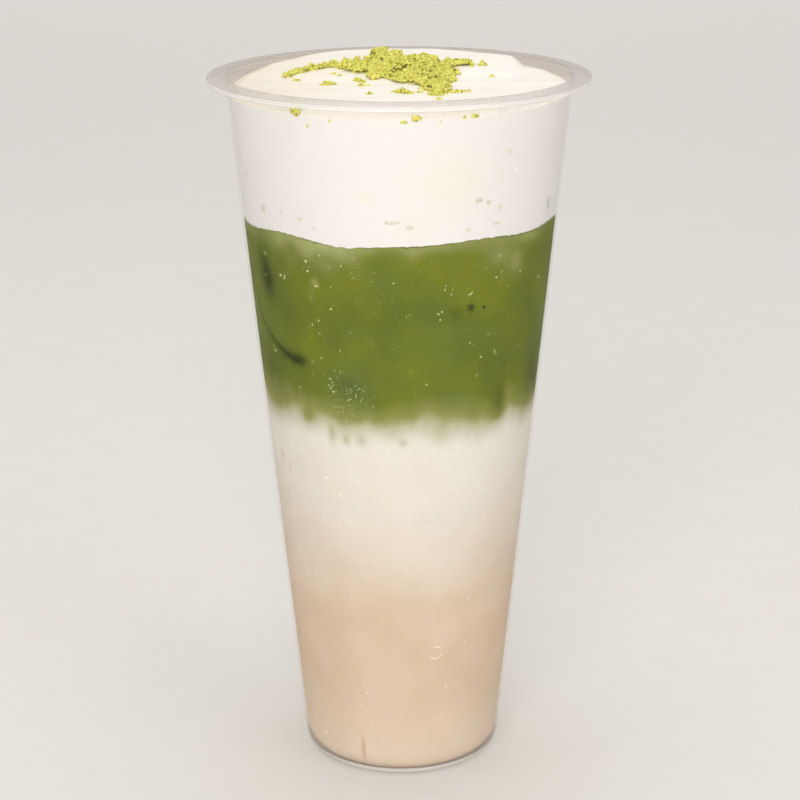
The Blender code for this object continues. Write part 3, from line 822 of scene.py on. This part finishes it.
# %% [markdown]
# ## Cream foam
#
# Salted cream is whipped until it just pours, so it lies smooth and thick, higher at
# the back where it was poured last and with one soft fold there. A fluid simulation
# could make such a fold, but a height function gives the same surface in a line or two
# and puts the fold exactly where it belongs.

# %% Foam surface
LOBE_HEIGHT = 1.8 * MM
LOBE_BACK = 30.0 * MM
LOBE_FOLD_X = 31.0 * MM
LOBE_FOLD_Y = 24.0 * MM
LOBE_FOLD_CURVE = 0.022 / MM
LOBE_FOLD_HALF_WIDTH = 1.6 * MM
LOBE_FADE_LEFT = 14.0 * MM
LOBE_FADE_END = 54.0 * MM
FOAM_RIPPLE = 0.22 * MM
# On the left the foam has sunk away from the wall a little more.
LEFT_EDGE_ANGLE = -95.0
LEFT_EDGE_HALF_WIDTH = 32.0
LEFT_EDGE_EXTRA = 1.6


def foam_level(x, y):
    """Surface of the foam without its finest ripples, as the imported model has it."""
    level = CUP_HEIGHT - FOAM_DEPTH + FOAM_TILT * y
    rise = smooth(y / LOBE_BACK)
    fold_x = LOBE_FOLD_X - LOBE_FOLD_CURVE * (y - LOBE_FOLD_Y) ** 2
    fold = 1.0 - smooth((x - fold_x + LOBE_FOLD_HALF_WIDTH) / (2 * LOBE_FOLD_HALF_WIDTH))
    fade = 1.0 - smooth((-x - LOBE_FADE_LEFT) / (LOBE_FADE_END - LOBE_FADE_LEFT))
    return level + LOBE_HEIGHT * rise * fold * fade


def foam_top(x, y):
    """The foam's surface with the low ripples that pouring leaves, and its turned edge."""
    ripple = noise.noise(Vector((x / (17 * MM), y / (6 * MM), 2.0)))
    ripple += 0.4 * noise.noise(Vector((x / (6 * MM), y / (3 * MM), 5.0)))
    from_wall = inner_radius(CUP_HEIGHT) - math.hypot(x, y)
    wider = 1.0 + LEFT_EDGE_EXTRA * bell(angle_of(x, y), LEFT_EDGE_ANGLE, LEFT_EDGE_HALF_WIDTH)
    edge = wider * FOAM_EDGE_DROP * (1.0 - smooth(from_wall / (wider * FOAM_EDGE_WIDTH)))
    return foam_level(x, y) + FOAM_RIPPLE * ripple - edge


FOAM_RINGS = 64
foam_edge = inner_radius(CUP_HEIGHT)
foam_profile = [(foam_edge * i / FOAM_RINGS, CUP_HEIGHT) for i in range(FOAM_RINGS)]
foam_side = layer_profile(MATCHA_TOP, CUP_HEIGHT, 0.8 * MM)[len(FLAT_RINGS):]
foam = turned("cream_foam_body", foam_profile + foam_side, DRINK_SEGMENTS,
              layer_shape(MATCHA_TOP, CUP_HEIGHT, matcha_top, foam_top))
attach(foam, "root")
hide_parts("cream_foam")
print("foam faces:", len(foam.data.polygons))

# %% Whipped cream finish
# Yellowish patches seen through the wall: angle, height in mm, half sizes, strength
CREAM_PATCHES = (
    (18, 160.0, 13.0, 6.0, 0.8), (6, 150.5, 10.0, 2.5, 0.5), (-130, 158.0, 20.0, 6.0, 0.6),
    (-11.2, 156.8, 2.0, 1.3, 0.9),
)
store(foam, "butter", lambda x, y, z: patches(angle_of(x, y), z, CREAM_PATCHES))
# The open top turns darker and yellower toward the left: how far left this starts, and over what width
LEFT_DARKER_FROM = 6 * MM
LEFT_DARKER_WIDTH = 34 * MM
store(foam, "left_darker", lambda x, y, z: smooth((-x - LEFT_DARKER_FROM) / LEFT_DARKER_WIDTH))


def whipped_cream():
    """Dense matt foam: buttery on its open top, whiter where the wall presses it smooth."""
    material, tree, place = new_material("whipped_cream_foam")
    normal = add(tree, "NewGeometry", output="True Normal")
    facing = add(tree, "SeparateXYZ", [normal], "Z")
    upward = add(tree, "MapRange", [facing, 0.4, 0.6])
    butter = add(tree, "Attribute", output="Fac", attribute_name="butter")
    left_darker = add(tree, "Attribute", output="Fac", attribute_name="left_darker")
    broad = add(tree, "TexNoise", {"Vector": place, "Scale": 1 / (15 * MM), "Detail": 3.0})
    # Foam bubbles are 0.1 to 0.3 mm across, drawn 0.6 mm wide so that they show.
    fine = add(tree, "TexNoise", {"Vector": place, "Scale": 1 / (0.6 * MM), "Detail": 2.0})
    on_top = layered(tree, "FAF5EC", (broad, "F7EFE3"), (left_darker, "F1E6D4"))
    colour = layered(tree, "ECE9E6", (butter, "EDE8DB"), (upward, on_top))
    relief = add(tree, "Bump", {"Height": fine, "Strength": 0.12, "Distance": 0.08 * MM})
    surface = add(tree, "BsdfPrincipled", {
        "Base Color": colour,
        "Roughness": 0.45,
        "IOR": 1.36,
        "Specular IOR Level": 0.25,
        "Normal": relief,
    })
    return surfaced(material, surface)


foam.data.materials.append(whipped_cream())

# %% [markdown]
# ## Matcha powder
#
# The heap is dry powder that clumps: soft lumps a few millimetres wide with a grainy
# skin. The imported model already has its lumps, so its mesh is remeshed finely and
# pushed in and out by noise at three sizes. Loose grains on top then break the outline.
# A particle system would scatter grains too, but the grains have to be real mesh here.

# %% The heap
HEAP_VOXEL = 0.27 * MM
# Relief as (size, height) of three sizes of lump
HEAP_RELIEF = ((3.0 * MM, 0.5 * MM), (1.3 * MM, 0.34 * MM), (0.6 * MM, 0.18 * MM))
# Open cracks and pits, as two ends and a half width in mm, seen from above
HEAP_CRACKS = (
    (-2.8, 5.6, -1.0, 8.2, 0.34), (-1.0, 8.2, 1.6, 11.2, 0.32), (-7.2, 21.4, -6.8, 21.0, 0.26),
    (-3.4, 17.6, -2.8, 17.2, 0.26), (-5.4, 16.8, -3.6, 16.2, 0.18), (3.2, 16.4, 4.4, 15.6, 0.22),
    (8.3, 11.6, 9.0, 10.8, 0.26), (9.0, 3.8, 9.6, 3.2, 0.24), (12.9, 14.8, 14.1, 11.0, 0.24),
    (4.6, 3.6, 5.6, 3.2, 0.2), (-11.0, 15.2, -9.6, 14.2, 0.2), (6.0, 8.2, 6.8, 7.6, 0.2),
)
CRACK_DEPTH = 0.75 * MM
# How far, in mm, noise moves a crack's edges aside
CRACK_WOBBLE = 0.35
# The heap's edge may sink this far under the foam.
HEAP_SINK = 0.2 * MM
# The push that counts as fully raised, or as fully sunk, in the heap's painted shade
RELIEF_RANGE = 0.6 * MM


def crack_share(place):
    """1 in the middle of a crack of the heap, falling to 0 beside it."""
    share = 0.0
    here = Vector(place[:2]) / MM
    here += Vector((noise.noise(place / (0.9 * MM)), noise.noise(place / (0.7 * MM)))) * CRACK_WOBBLE
    for x0, y0, x1, y1, half_width in HEAP_CRACKS:
        away = beside(here, Vector((x0, y0)), Vector((x1, y1)))[1] / half_width
        share = max(share, math.exp(-away * away))
    return share


def powder_push(place):
    """How far powder stands out at a place: three sizes of lump, less the cracks."""
    push = sum(height * noise.noise(place / size) for size, height in HEAP_RELIEF)
    return push - CRACK_DEPTH * crack_share(place)


def make_heap():
    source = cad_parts["matcha_powder"]
    heap = bpy.data.objects.new("powder_heap", source.data.copy())
    bpy.context.scene.collection.objects.link(heap)
    remesh = heap.modifiers.new("fine_skin", "REMESH")
    remesh.mode = "VOXEL"
    remesh.voxel_size = HEAP_VOXEL
    evaluated = heap.evaluated_get(bpy.context.evaluated_depsgraph_get())
    mesh = bpy.data.meshes.new_from_object(evaluated)
    heap.modifiers.clear()
    mesh.materials.clear()
    heap.data = mesh
    pushes = []
    for vertex in mesh.vertices:
        push = powder_push(vertex.co)
        pushes.append(push)
        low_limit = foam_level(vertex.co.x, vertex.co.y) - HEAP_SINK
        vertex.co = vertex.co + vertex.normal * push
        vertex.co.z = max(vertex.co.z, low_limit)
    highest = model_box[1][2]
    for vertex in mesh.vertices:
        vertex.co.z = min(vertex.co.z, highest)
    mesh.attributes.new("relief", "FLOAT", "POINT").data.foreach_set(
        "value", [0.5 + 0.5 * push / RELIEF_RANGE for push in pushes])
    mesh.shade_smooth()
    return heap


heap = make_heap()
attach(heap, "root")
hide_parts("matcha_powder")
print("heap faces:", len(heap.data.polygons))

# %% Lumps and grains joined in one mesh


def lump_shape(divisions):
    """Points and triangles of a unit sphere."""
    bm = bmesh.new()
    bmesh.ops.create_icosphere(bm, subdivisions=divisions, radius=1.0)
    points = np.array([vertex.co for vertex in bm.verts])
    faces = np.array([[vertex.index for vertex in face.verts] for face in bm.faces])
    bm.free()
    return points, faces


def joined_lumps(name, lumps, divisions=1, roughness=0.35):
    """One mesh of many uneven lumps, each given by its centre, half sizes and turn."""
    unit, unit_faces = lump_shape(divisions)
    points, faces = [], []
    for index, (centre, sizes, turn) in enumerate(lumps):
        offset = Vector((index * 1.37, index * 0.71, index * 2.3))
        push = [1.0 + roughness * noise.noise(Vector(p) * 1.7 + offset) for p in unit]
        shape = unit * np.array(push)[:, None] * np.array(sizes)
        c, s = math.cos(turn), math.sin(turn)
        spin = np.array([[c, -s, 0.0], [s, c, 0.0], [0.0, 0.0, 1.0]])
        faces.append(unit_faces + index * len(unit))
        points.append(shape @ spin.T + np.array(centre))
    piece = new_piece(name, np.concatenate(points), np.concatenate(faces).tolist())
    if divisions == 1:
        piece.data.shade_flat()
    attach(piece, "root")
    return piece


def grain_on(place, normal, size, rng):
    """A grain resting on a surface, partly sunk into it."""
    centre = place + normal * size * rng.uniform(-0.35, 0.5)
    sizes = (size, size * rng.uniform(0.6, 1.0), size * rng.uniform(0.5, 0.9))
    return tuple(centre), sizes, rng.uniform(0, math.pi)


# Clods stay angular, as dry powder breaks, and grains are finer still. Both counts are
# set by how much of the heap they cover. Real grains are ten times finer than these.
CLOD_COUNT = 2900
GRAIN_COUNT = 5200
HIGHEST = model_box[1][2] - 0.05 * MM
rng = random.Random(5)
top_faces = [face for face in heap.data.polygons if face.normal.z > -0.1]
spots = rng.choices(top_faces, weights=[face.area for face in top_faces], k=CLOD_COUNT + GRAIN_COUNT)
grains = []
for index, face in enumerate(spots):
    if index < CLOD_COUNT:
        size = (0.17 + 0.36 * rng.random() ** 2.2) * MM
    else:
        size = rng.uniform(0.07, 0.17) * MM
    centre, sizes, turn = grain_on(face.center, face.normal, size, rng)
    grains.append(((centre[0], centre[1], min(centre[2], HIGHEST - 1.4 * size)), sizes, turn))
powder_clods = joined_lumps("powder_clods", grains[:CLOD_COUNT], roughness=0.5)
powder_grains = joined_lumps("powder_grains", grains[CLOD_COUNT:])
for piece in (powder_clods, powder_grains):
    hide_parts("matcha_powder")
print("clods and grains:", CLOD_COUNT, GRAIN_COUNT)

# %% [markdown]
# Crumbs of the same powder lie apart on the foam, with dust round them. The packed
# model has the larger ones fused to the foam, so they are made here at the same places
# and take the place of the foam's node together with the foam.

# %% Loose crumbs and dust
# x, y, half length, half width and height in mm, and turn in degrees
CRUMBS = (
    (-17.6, 1.6, 2.2, 1.6, 0.9, 35), (-10.0, 4.9, 2.3, 1.0, 0.9, -50), (-8.8, -0.6, 1.7, 0.8, 0.6, 10),
    (-7.2, -10.6, 1.0, 0.6, 0.4, 0), (0.9, -9.2, 3.0, 1.5, 0.9, -28), (5.0, -9.2, 1.2, 0.7, 0.4, 5),
    (9.2, -12.2, 2.3, 1.9, 0.9, 10), (14.4, -8.9, 2.6, 0.9, 0.6, 35), (9.4, -17.8, 0.7, 0.6, 0.4, 0),
    (21.2, 20.2, 1.4, 1.0, 0.8, -15), (23.2, 9.1, 0.8, 0.6, 0.4, 0), (-25.5, 6.0, 1.3, 0.6, 0.4, 0),
    (-16.5, 11.8, 0.6, 0.5, 0.4, 0), (-14.9, 10.0, 0.5, 0.4, 0.4, 0),
    # Finer spill between the heap and the crumbs before it
    (6.7, -5.5, 1.1, 0.7, 0.6, 0), (7.6, -8.3, 1.0, 0.7, 0.6, 20), (11.6, -9.4, 1.6, 0.8, 0.8, 10),
    (16.8, -8.0, 0.9, 0.5, 0.4, 0), (9.4, -10.2, 1.2, 0.8, 0.8, 40), (5.2, -4.2, 0.8, 0.5, 0.5, 0),
    # Ragged edges of the long trail on the left
    (-25.6, 14.6, 1.9, 1.2, 0.9, 35), (-22.4, 17.0, 2.0, 1.4, 0.9, 30), (-19.2, 19.4, 1.9, 1.3, 0.9, 25),
    (-14.6, 19.0, 1.8, 1.5, 1.0, 0), (-13.4, 22.4, 1.8, 1.3, 0.9, 20), (-10.8, 23.6, 1.5, 1.2, 0.9, 0),
    (-12.2, 16.8, 1.5, 1.2, 0.9, -20),
)
CLODS_PER_AREA = 9.0
CLODS_AT_LEAST = 12
DUST_COUNT = 2000


def crumb_parts(crumb, rng):
    """Small clods heaped up over one crumb's oval, lower toward its edge."""
    x, y, half_length, half_width, height, turn = crumb
    a = math.radians(turn)
    for _ in range(CLODS_AT_LEAST + round(CLODS_PER_AREA * half_length * half_width)):
        reach, bearing = rng.random() ** 0.7, rng.uniform(0, 2 * math.pi)
        u = half_length * reach * math.cos(bearing)
        v = half_width * reach * math.sin(bearing)
        place_x = (x + u * math.cos(a) - v * math.sin(a)) * MM
        place_y = (y + u * math.sin(a) + v * math.cos(a)) * MM
        size = (0.16 + height * rng.uniform(0.15, 0.45) * (1.1 - 0.6 * reach)) * MM
        lift = rng.uniform(0.0, 1.6) * height * (1.0 - reach) * MM
        centre = (place_x, place_y, foam_top(place_x, place_y) + lift)
        yield centre, (size * 1.2, size, size * 0.9), rng.uniform(0, math.pi)


crumbs = [part for crumb in CRUMBS for part in crumb_parts(crumb, rng)]
crumb_piece = joined_lumps("powder_crumbs", crumbs, roughness=0.6)
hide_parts("cream_foam")

dust = []
heap_points = [
    vertex.co for vertex in heap.data.vertices
    if vertex.co.z < foam_level(*vertex.co[:2]) + 0.5 * MM
]
while len(dust) < DUST_COUNT:
    near = rng.choice(heap_points)
    spread = 0.45 * MM if rng.random() < 0.85 else 1.5 * MM
    x = near.x + rng.gauss(0.0, spread)
    y = near.y + rng.gauss(0.0, spread)
    size = (0.08 + 0.3 * rng.random() ** 3) * MM
    dust.append(((x, y, foam_top(x, y) + 0.2 * size), (size, size, size), rng.uniform(0, math.pi)))
powder_dust = joined_lumps("powder_dust", dust)
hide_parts("cream_foam")
print("crumb clods:", len(crumbs), "dust:", len(dust))

# %% Ground matcha finish


def ground_matcha(with_relief):
    """Stone-ground leaf powder: dead matt yellow green, painted light and shade on its grains, painted shade
    in every hollow.
    """
    name = "ground_matcha_heap" if with_relief else "ground_matcha_grains"
    material, tree, place = new_material(name)
    broad = add(tree, "TexNoise", {"Vector": place, "Scale": 1 / (3 * MM), "Detail": 3.0})
    # Powder grains are 0.02 mm, their clusters up to 0.5 mm. The clusters are what shows.
    fine = add(tree, "TexNoise", {"Vector": place, "Scale": 1 / (0.55 * MM), "Detail": 3.0})
    # Painted shade and painted highlight: the dark and bright specks stand for the lit and shaded sides of
    # clusters too fine to model, over the powder's own uneven tone.
    dark = add(tree, "MapRange", [fine, 0.46, 0.34])
    bright = add(tree, "MapRange", [fine, 0.54, 0.68])
    colour = layered(tree, "D6D162", (broad, "EAE57D"), (dark, "8C8724"), (bright, "F4F08C"))
    if with_relief:
        # Painted shade: the heap is painted darker in every hollow of its relief.
        pushed = add(tree, "Attribute", output="Fac", attribute_name="relief")
        hollow = add(tree, "MapRange", [pushed, 0.05, 0.42])
        colour = layered(tree, "726E1E", (hollow, colour))
    relief = add(tree, "Bump", {"Height": fine, "Strength": 0.8, "Distance": 0.35 * MM})
    surface = add(tree, "BsdfPrincipled", {
        "Base Color": colour,
        "Roughness": 0.95,
        "Specular IOR Level": 0.1,
        "Normal": relief,
    })
    return surfaced(material, surface)


heap.data.materials.append(ground_matcha(True))
grain_material = ground_matcha(False)
for piece in (powder_clods, powder_grains, crumb_piece, powder_dust):
    piece.data.materials.append(grain_material)

# %% [markdown]
# ## Specks on and behind the wall
#
# A few crumbs of powder stick to the wall above the foam, small green flecks are caught
# in the foam, and fine air bubbles cling to the inside of the wall. They are tiny, but
# they are what tells the eye that this is a real drink behind plastic.

# %% Wall specks


def on_wall(angle, z, depth=0.0):
    """A point on the cup's inner wall, at an angle from the front, in mm and degrees."""
    radius = inner_radius(z * MM) - depth
    a = math.radians(angle)
    return radius * math.sin(a), -radius * math.cos(a), z * MM


# Angle, height, half width and half height in mm
STUCK_CRUMBS = (
    (-34.6, 176.9, 1.55, 1.25), (-30.6, 173.2, 0.4, 0.55), (-22.5, 174.9, 0.45, 0.35),
    (1.2, 175.0, 0.8, 0.45), (5.2, 175.8, 1.0, 0.75), (13.0, 175.1, 0.35, 0.3),
    (21.0, 175.6, 0.4, 0.35), (24.6, 175.8, 0.9, 0.55),
)
FOAM_FLECKS = (
    (-55.3, 151.3, 0.9, 1.0), (-45.2, 151.0, 0.4, 0.4), (-36.7, 150.3, 0.6, 0.5), (-31.0, 148.4, 0.5, 0.4),
    (-2.9, 151.0, 1.4, 0.4), (3.4, 150.0, 0.8, 0.6), (27.6, 155.7, 0.8, 0.7),
    (31.5, 154.9, 0.5, 0.7), (36.5, 153.3, 0.5, 0.8), (34.9, 149.3, 0.9, 0.4), (24.0, 148.5, 0.5, 0.5),
    (65.6, 151.5, 0.8, 1.6), (83.0, 152.0, 0.5, 0.7), (38.7, 166.4, 0.5, 0.5), (-68.0, 158.0, 0.4, 0.9),
    (120, 150.0, 0.6, 0.6), (-150, 155.0, 0.7, 0.5), (170, 160.0, 0.8, 0.7), (-100, 149.0, 0.6, 0.5),
)


def wall_speck(angle, z, half_width, half_height, thickness=0.3 * MM, depth=0.0):
    sizes = (half_width * MM, thickness, half_height * MM)
    return on_wall(angle, z, depth), sizes, math.radians(angle)


stuck = joined_lumps("stuck_crumbs", [wall_speck(*speck) for speck in STUCK_CRUMBS], 3, 0.8)
stuck.data.materials.append(grain_material)


def fleck_finish():
    """Matcha grains just under the foam's skin, so they show pale and soft."""
    material, tree, place = new_material("matcha_under_foam")
    patch = add(tree, "TexNoise", {"Vector": place, "Scale": 1 / (0.8 * MM)})
    colour = layered(tree, "D0D0B0", (patch, "EDEADF"))
    # They lie flat under the skin, so they are lit as the wall is and not as lumps.
    outward = add(tree, "VectorMath", [place, LEVEL], operation="MULTIPLY")
    surface = add(tree, "BsdfPrincipled", {"Base Color": colour, "Roughness": 0.6, "Normal": outward})
    return surfaced(material, surface)


fleck_specks = [wall_speck(*fleck, 0.04 * MM, -INTO_WALL) for fleck in FOAM_FLECKS]
flecks = joined_lumps("foam_flecks", fleck_specks, 3, 0.9)
flecks.data.materials.append(fleck_finish())

# %% Air bubbles
# Bubbles that stand out, as angle, height and radius in mm
CLEAR_BUBBLES = (
    (-49.1, 134.9, 0.5), (-35.0, 137.5, 0.45), (-26.1, 128.7, 0.4), (-31.7, 125.2, 0.3), (-34.8, 123.9, 0.3),
    (-31.7, 121.9, 0.25), (-58.3, 114.2, 0.5), (-23.4, 118.2, 0.25), (-31.7, 115.6, 0.3), (-36.2, 114.2, 0.3),
    (-44.0, 106.6, 0.3), (-28.2, 110.5, 0.3), (-27.5, 109.7, 0.25), (-29.1, 108.8, 0.3), (-27.5, 108.8, 0.25),
    (-28.4, 108.1, 0.3), (-27.3, 107.4, 0.3), (-26.1, 107.5, 0.2), (-25.2, 111.1, 0.2), (63.5, 132.2, 0.5),
    (49.3, 135.6, 0.3), (37.0, 135.5, 0.35), (39.4, 136.7, 0.25), (16.2, 134.0, 0.3), (18.7, 132.7, 0.3),
    (15.3, 128.5, 0.3), (14.1, 128.0, 0.3), (14.7, 126.5, 0.3), (27.1, 119.8, 0.3), (28.7, 119.2, 0.2),
    (35.0, 121.3, 0.25), (38.7, 121.2, 0.25), (38.7, 116.7, 0.3), (39.1, 115.8, 0.25), (32.4, 115.7, 0.35),
    (-58.2, 139.2, 0.4), (-35.5, 139.9, 0.5), (-29.5, 141.8, 0.3), (-21.1, 139.8, 0.3), (-2.3, 136.1, 0.3),
    (-33.8, 83.8, 0.6), (-27.1, 79.6, 0.55), (52.4, 87.1, 0.55), (45.7, 82.0, 0.35), (45.9, 64.1, 0.35),
    (49.0, 57.8, 0.3), (34.8, 49.8, 0.35), (62.4, 36.3, 0.45), (34.0, 37.8, 0.3), (17.2, 28.9, 0.25),
    (24.4, 25.7, 0.35), (-20.1, 27.8, 0.25), (-18.8, 24.2, 0.35), (-22.6, 20.1, 0.35), (-44.5, 16.9, 0.35),
    (-50.7, 8.7, 0.5), (21.9, 16.3, 0.3), (-49.2, 59.8, 0.25), (28.5, 60.1, 0.25), (42.2, 161.7, 0.65),
)
BUBBLE_COUNT = 1100
BUBBLE_THICKNESS = 0.12 * MM
# Heights in mm between which fine bubbles lie: in the tea, and in what is below it
BUBBLES_IN_TEA = (103, 144)
BUBBLES_BELOW = (8, 96)
# Zones of height in which the colour of the tea, and then of the foam, takes over
TEA_BEGINS = (97 * MM, 101 * MM)
FOAM_BEGINS = (147 * MM, 148 * MM)


def bubble_places(count, rng):
    """Fine bubbles crowd in the tea and are rare in the milk and the milk tea."""
    for _ in range(count):
        angle = rng.uniform(-180, 180)
        z = rng.uniform(*(BUBBLES_IN_TEA if rng.random() < 0.9 else BUBBLES_BELOW))
        # One in ten joins a cluster at the front left.
        if rng.random() < 0.1:
            angle, z = rng.gauss(-20, 6), rng.gauss(107.5, 3.5)
        size = 0.08 + 0.1 * rng.random() ** 3
        yield wall_speck(angle, z, size, size * rng.uniform(0.9, 1.3), BUBBLE_THICKNESS, -INTO_WALL)


def bubble_highlight_finish():
    """Painted highlight: a bubble's thin skin catches the light, so it is painted pale, tinted by the drink's
    colour.
    """
    material, tree, place = new_material("painted_bubble_highlight")
    height = add(tree, "SeparateXYZ", [place], "Z")
    in_tea = add(tree, "MapRange", [height, *TEA_BEGINS])
    in_foam = add(tree, "MapRange", [height, *FOAM_BEGINS])
    colour = layered(tree, "FAF1E4", (in_tea, "D3D793"), (in_foam, "FFFEFB"))
    surface = add(tree, "BsdfPrincipled", {"Base Color": colour, "Roughness": 0.15})
    return surfaced(material, surface)


bubble_specks = list(bubble_places(BUBBLE_COUNT, rng))
for angle, z, radius in CLEAR_BUBBLES:
    bubble_specks.append(wall_speck(angle, z, 0.7 * radius, 0.9 * radius, BUBBLE_THICKNESS, -INTO_WALL))
bubbles = joined_lumps("wall_bubbles", bubble_specks, 1, 0.1)
bubbles.data.materials.append(bubble_highlight_finish())
print("bubbles:", len(bubble_specks))

# %% [markdown]
# A bubble pressed flat against the wall shows a pale crescent of light on its lower side,
# painted here as a row of small pale lumps along an arc, thin at its ends. A few dark
# specks lie there too: tea dust, and in the tea painted shadows of ice. A bent tube would
# do as well as the lumps, but the lumps need no new helper.

# %% Crescents and dark specks
# Angle, height, radius in mm, and first and last bearing of the arc in degrees
CRESCENTS = ((25.2, 133.6, 1.5, 270, 330), (17.8, 36.1, 1.7, 200, 350), (-31.9, 134.6, 0.7, 230, 340),
             (-48.6, 134.9, 1.2, 310, 380), (17.8, 36.1, 1.7, 30, 120))
# Dark specks as angle, height, half width and half height in mm: tea dust in the milk, painted shadows of ice
# in the tea
DUST_AND_SHADE_SPECKS = (
    (32.4, 128.5, 0.5, 0.45), (27.0, 129.1, 0.6, 0.45), (12.3, 73.4, 0.22, 0.2), (-27.1, 51.6, 0.25, 0.3),
    (-30.5, 46.5, 0.25, 0.3), (-57.8, 50.4, 0.25, 0.4), (140, 118.0, 0.3, 0.3), (-150, 70.0, 0.3, 0.3),
)
ARC_LUMPS = 22


def crescent(angle, z, radius, first, last):
    for i in range(ARC_LUMPS):
        part = i / (ARC_LUMPS - 1)
        bearing = math.radians(first + part * (last - first))
        across = math.degrees(radius * MM * math.cos(bearing) / inner_radius(z * MM))
        size = 0.06 + 0.14 * math.sin(math.pi * part)
        up = radius * math.sin(bearing)
        yield wall_speck(angle + across, z + up, size, size, BUBBLE_THICKNESS, -INTO_WALL)


crescents = joined_lumps("bubble_crescent_highlights", [lump for arc in CRESCENTS for lump in crescent(*arc)], 1, 0.1)
crescents.data.materials.append(bubbles.data.materials[0])


def dust_and_shade_finish():
    """Coarse leaf or tea dust soaked through, brown in the milk; the specks in the tea are painted ice
    shadows, nearly black.
    """
    material, tree, place = new_material("soaked_dust_and_ice_shade")
    height = add(tree, "SeparateXYZ", [place], "Z")
    in_tea = add(tree, "MapRange", [height, *TEA_BEGINS])
    colour = layered(tree, "CBB49E", (in_tea, "1C220D"))
    outward = add(tree, "VectorMath", [place, LEVEL], operation="MULTIPLY")
    surface = add(tree, "BsdfPrincipled", {"Base Color": colour, "Roughness": 0.6, "Normal": outward})
    return surfaced(material, surface)


dark_specks = [wall_speck(*grain, BUBBLE_THICKNESS, -INTO_WALL) for grain in DUST_AND_SHADE_SPECKS]
dust_and_shade_piece = joined_lumps("dust_and_ice_shade_specks", dark_specks, 2, 0.3)
dust_and_shade_piece.data.materials.append(dust_and_shade_finish())

# %% [markdown]
# ## Sizes
#
# Both boxes, the imported model's and the dressed one's, are kept side by side, and the
# dressed one is printed in millimetres. The dressed model has to stay inside the
# imported one.

# %% Print the sizes
boxes = {"cad": model_box, "visual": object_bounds()}
boxes = {name: [[float(c) for c in corner_point] for corner_point in box] for name, box in boxes.items()}
dressed_box = [[round(c / MM, 2) for c in corner_point] for corner_point in boxes["visual"]]
print("dressed model, mm:", dressed_box)
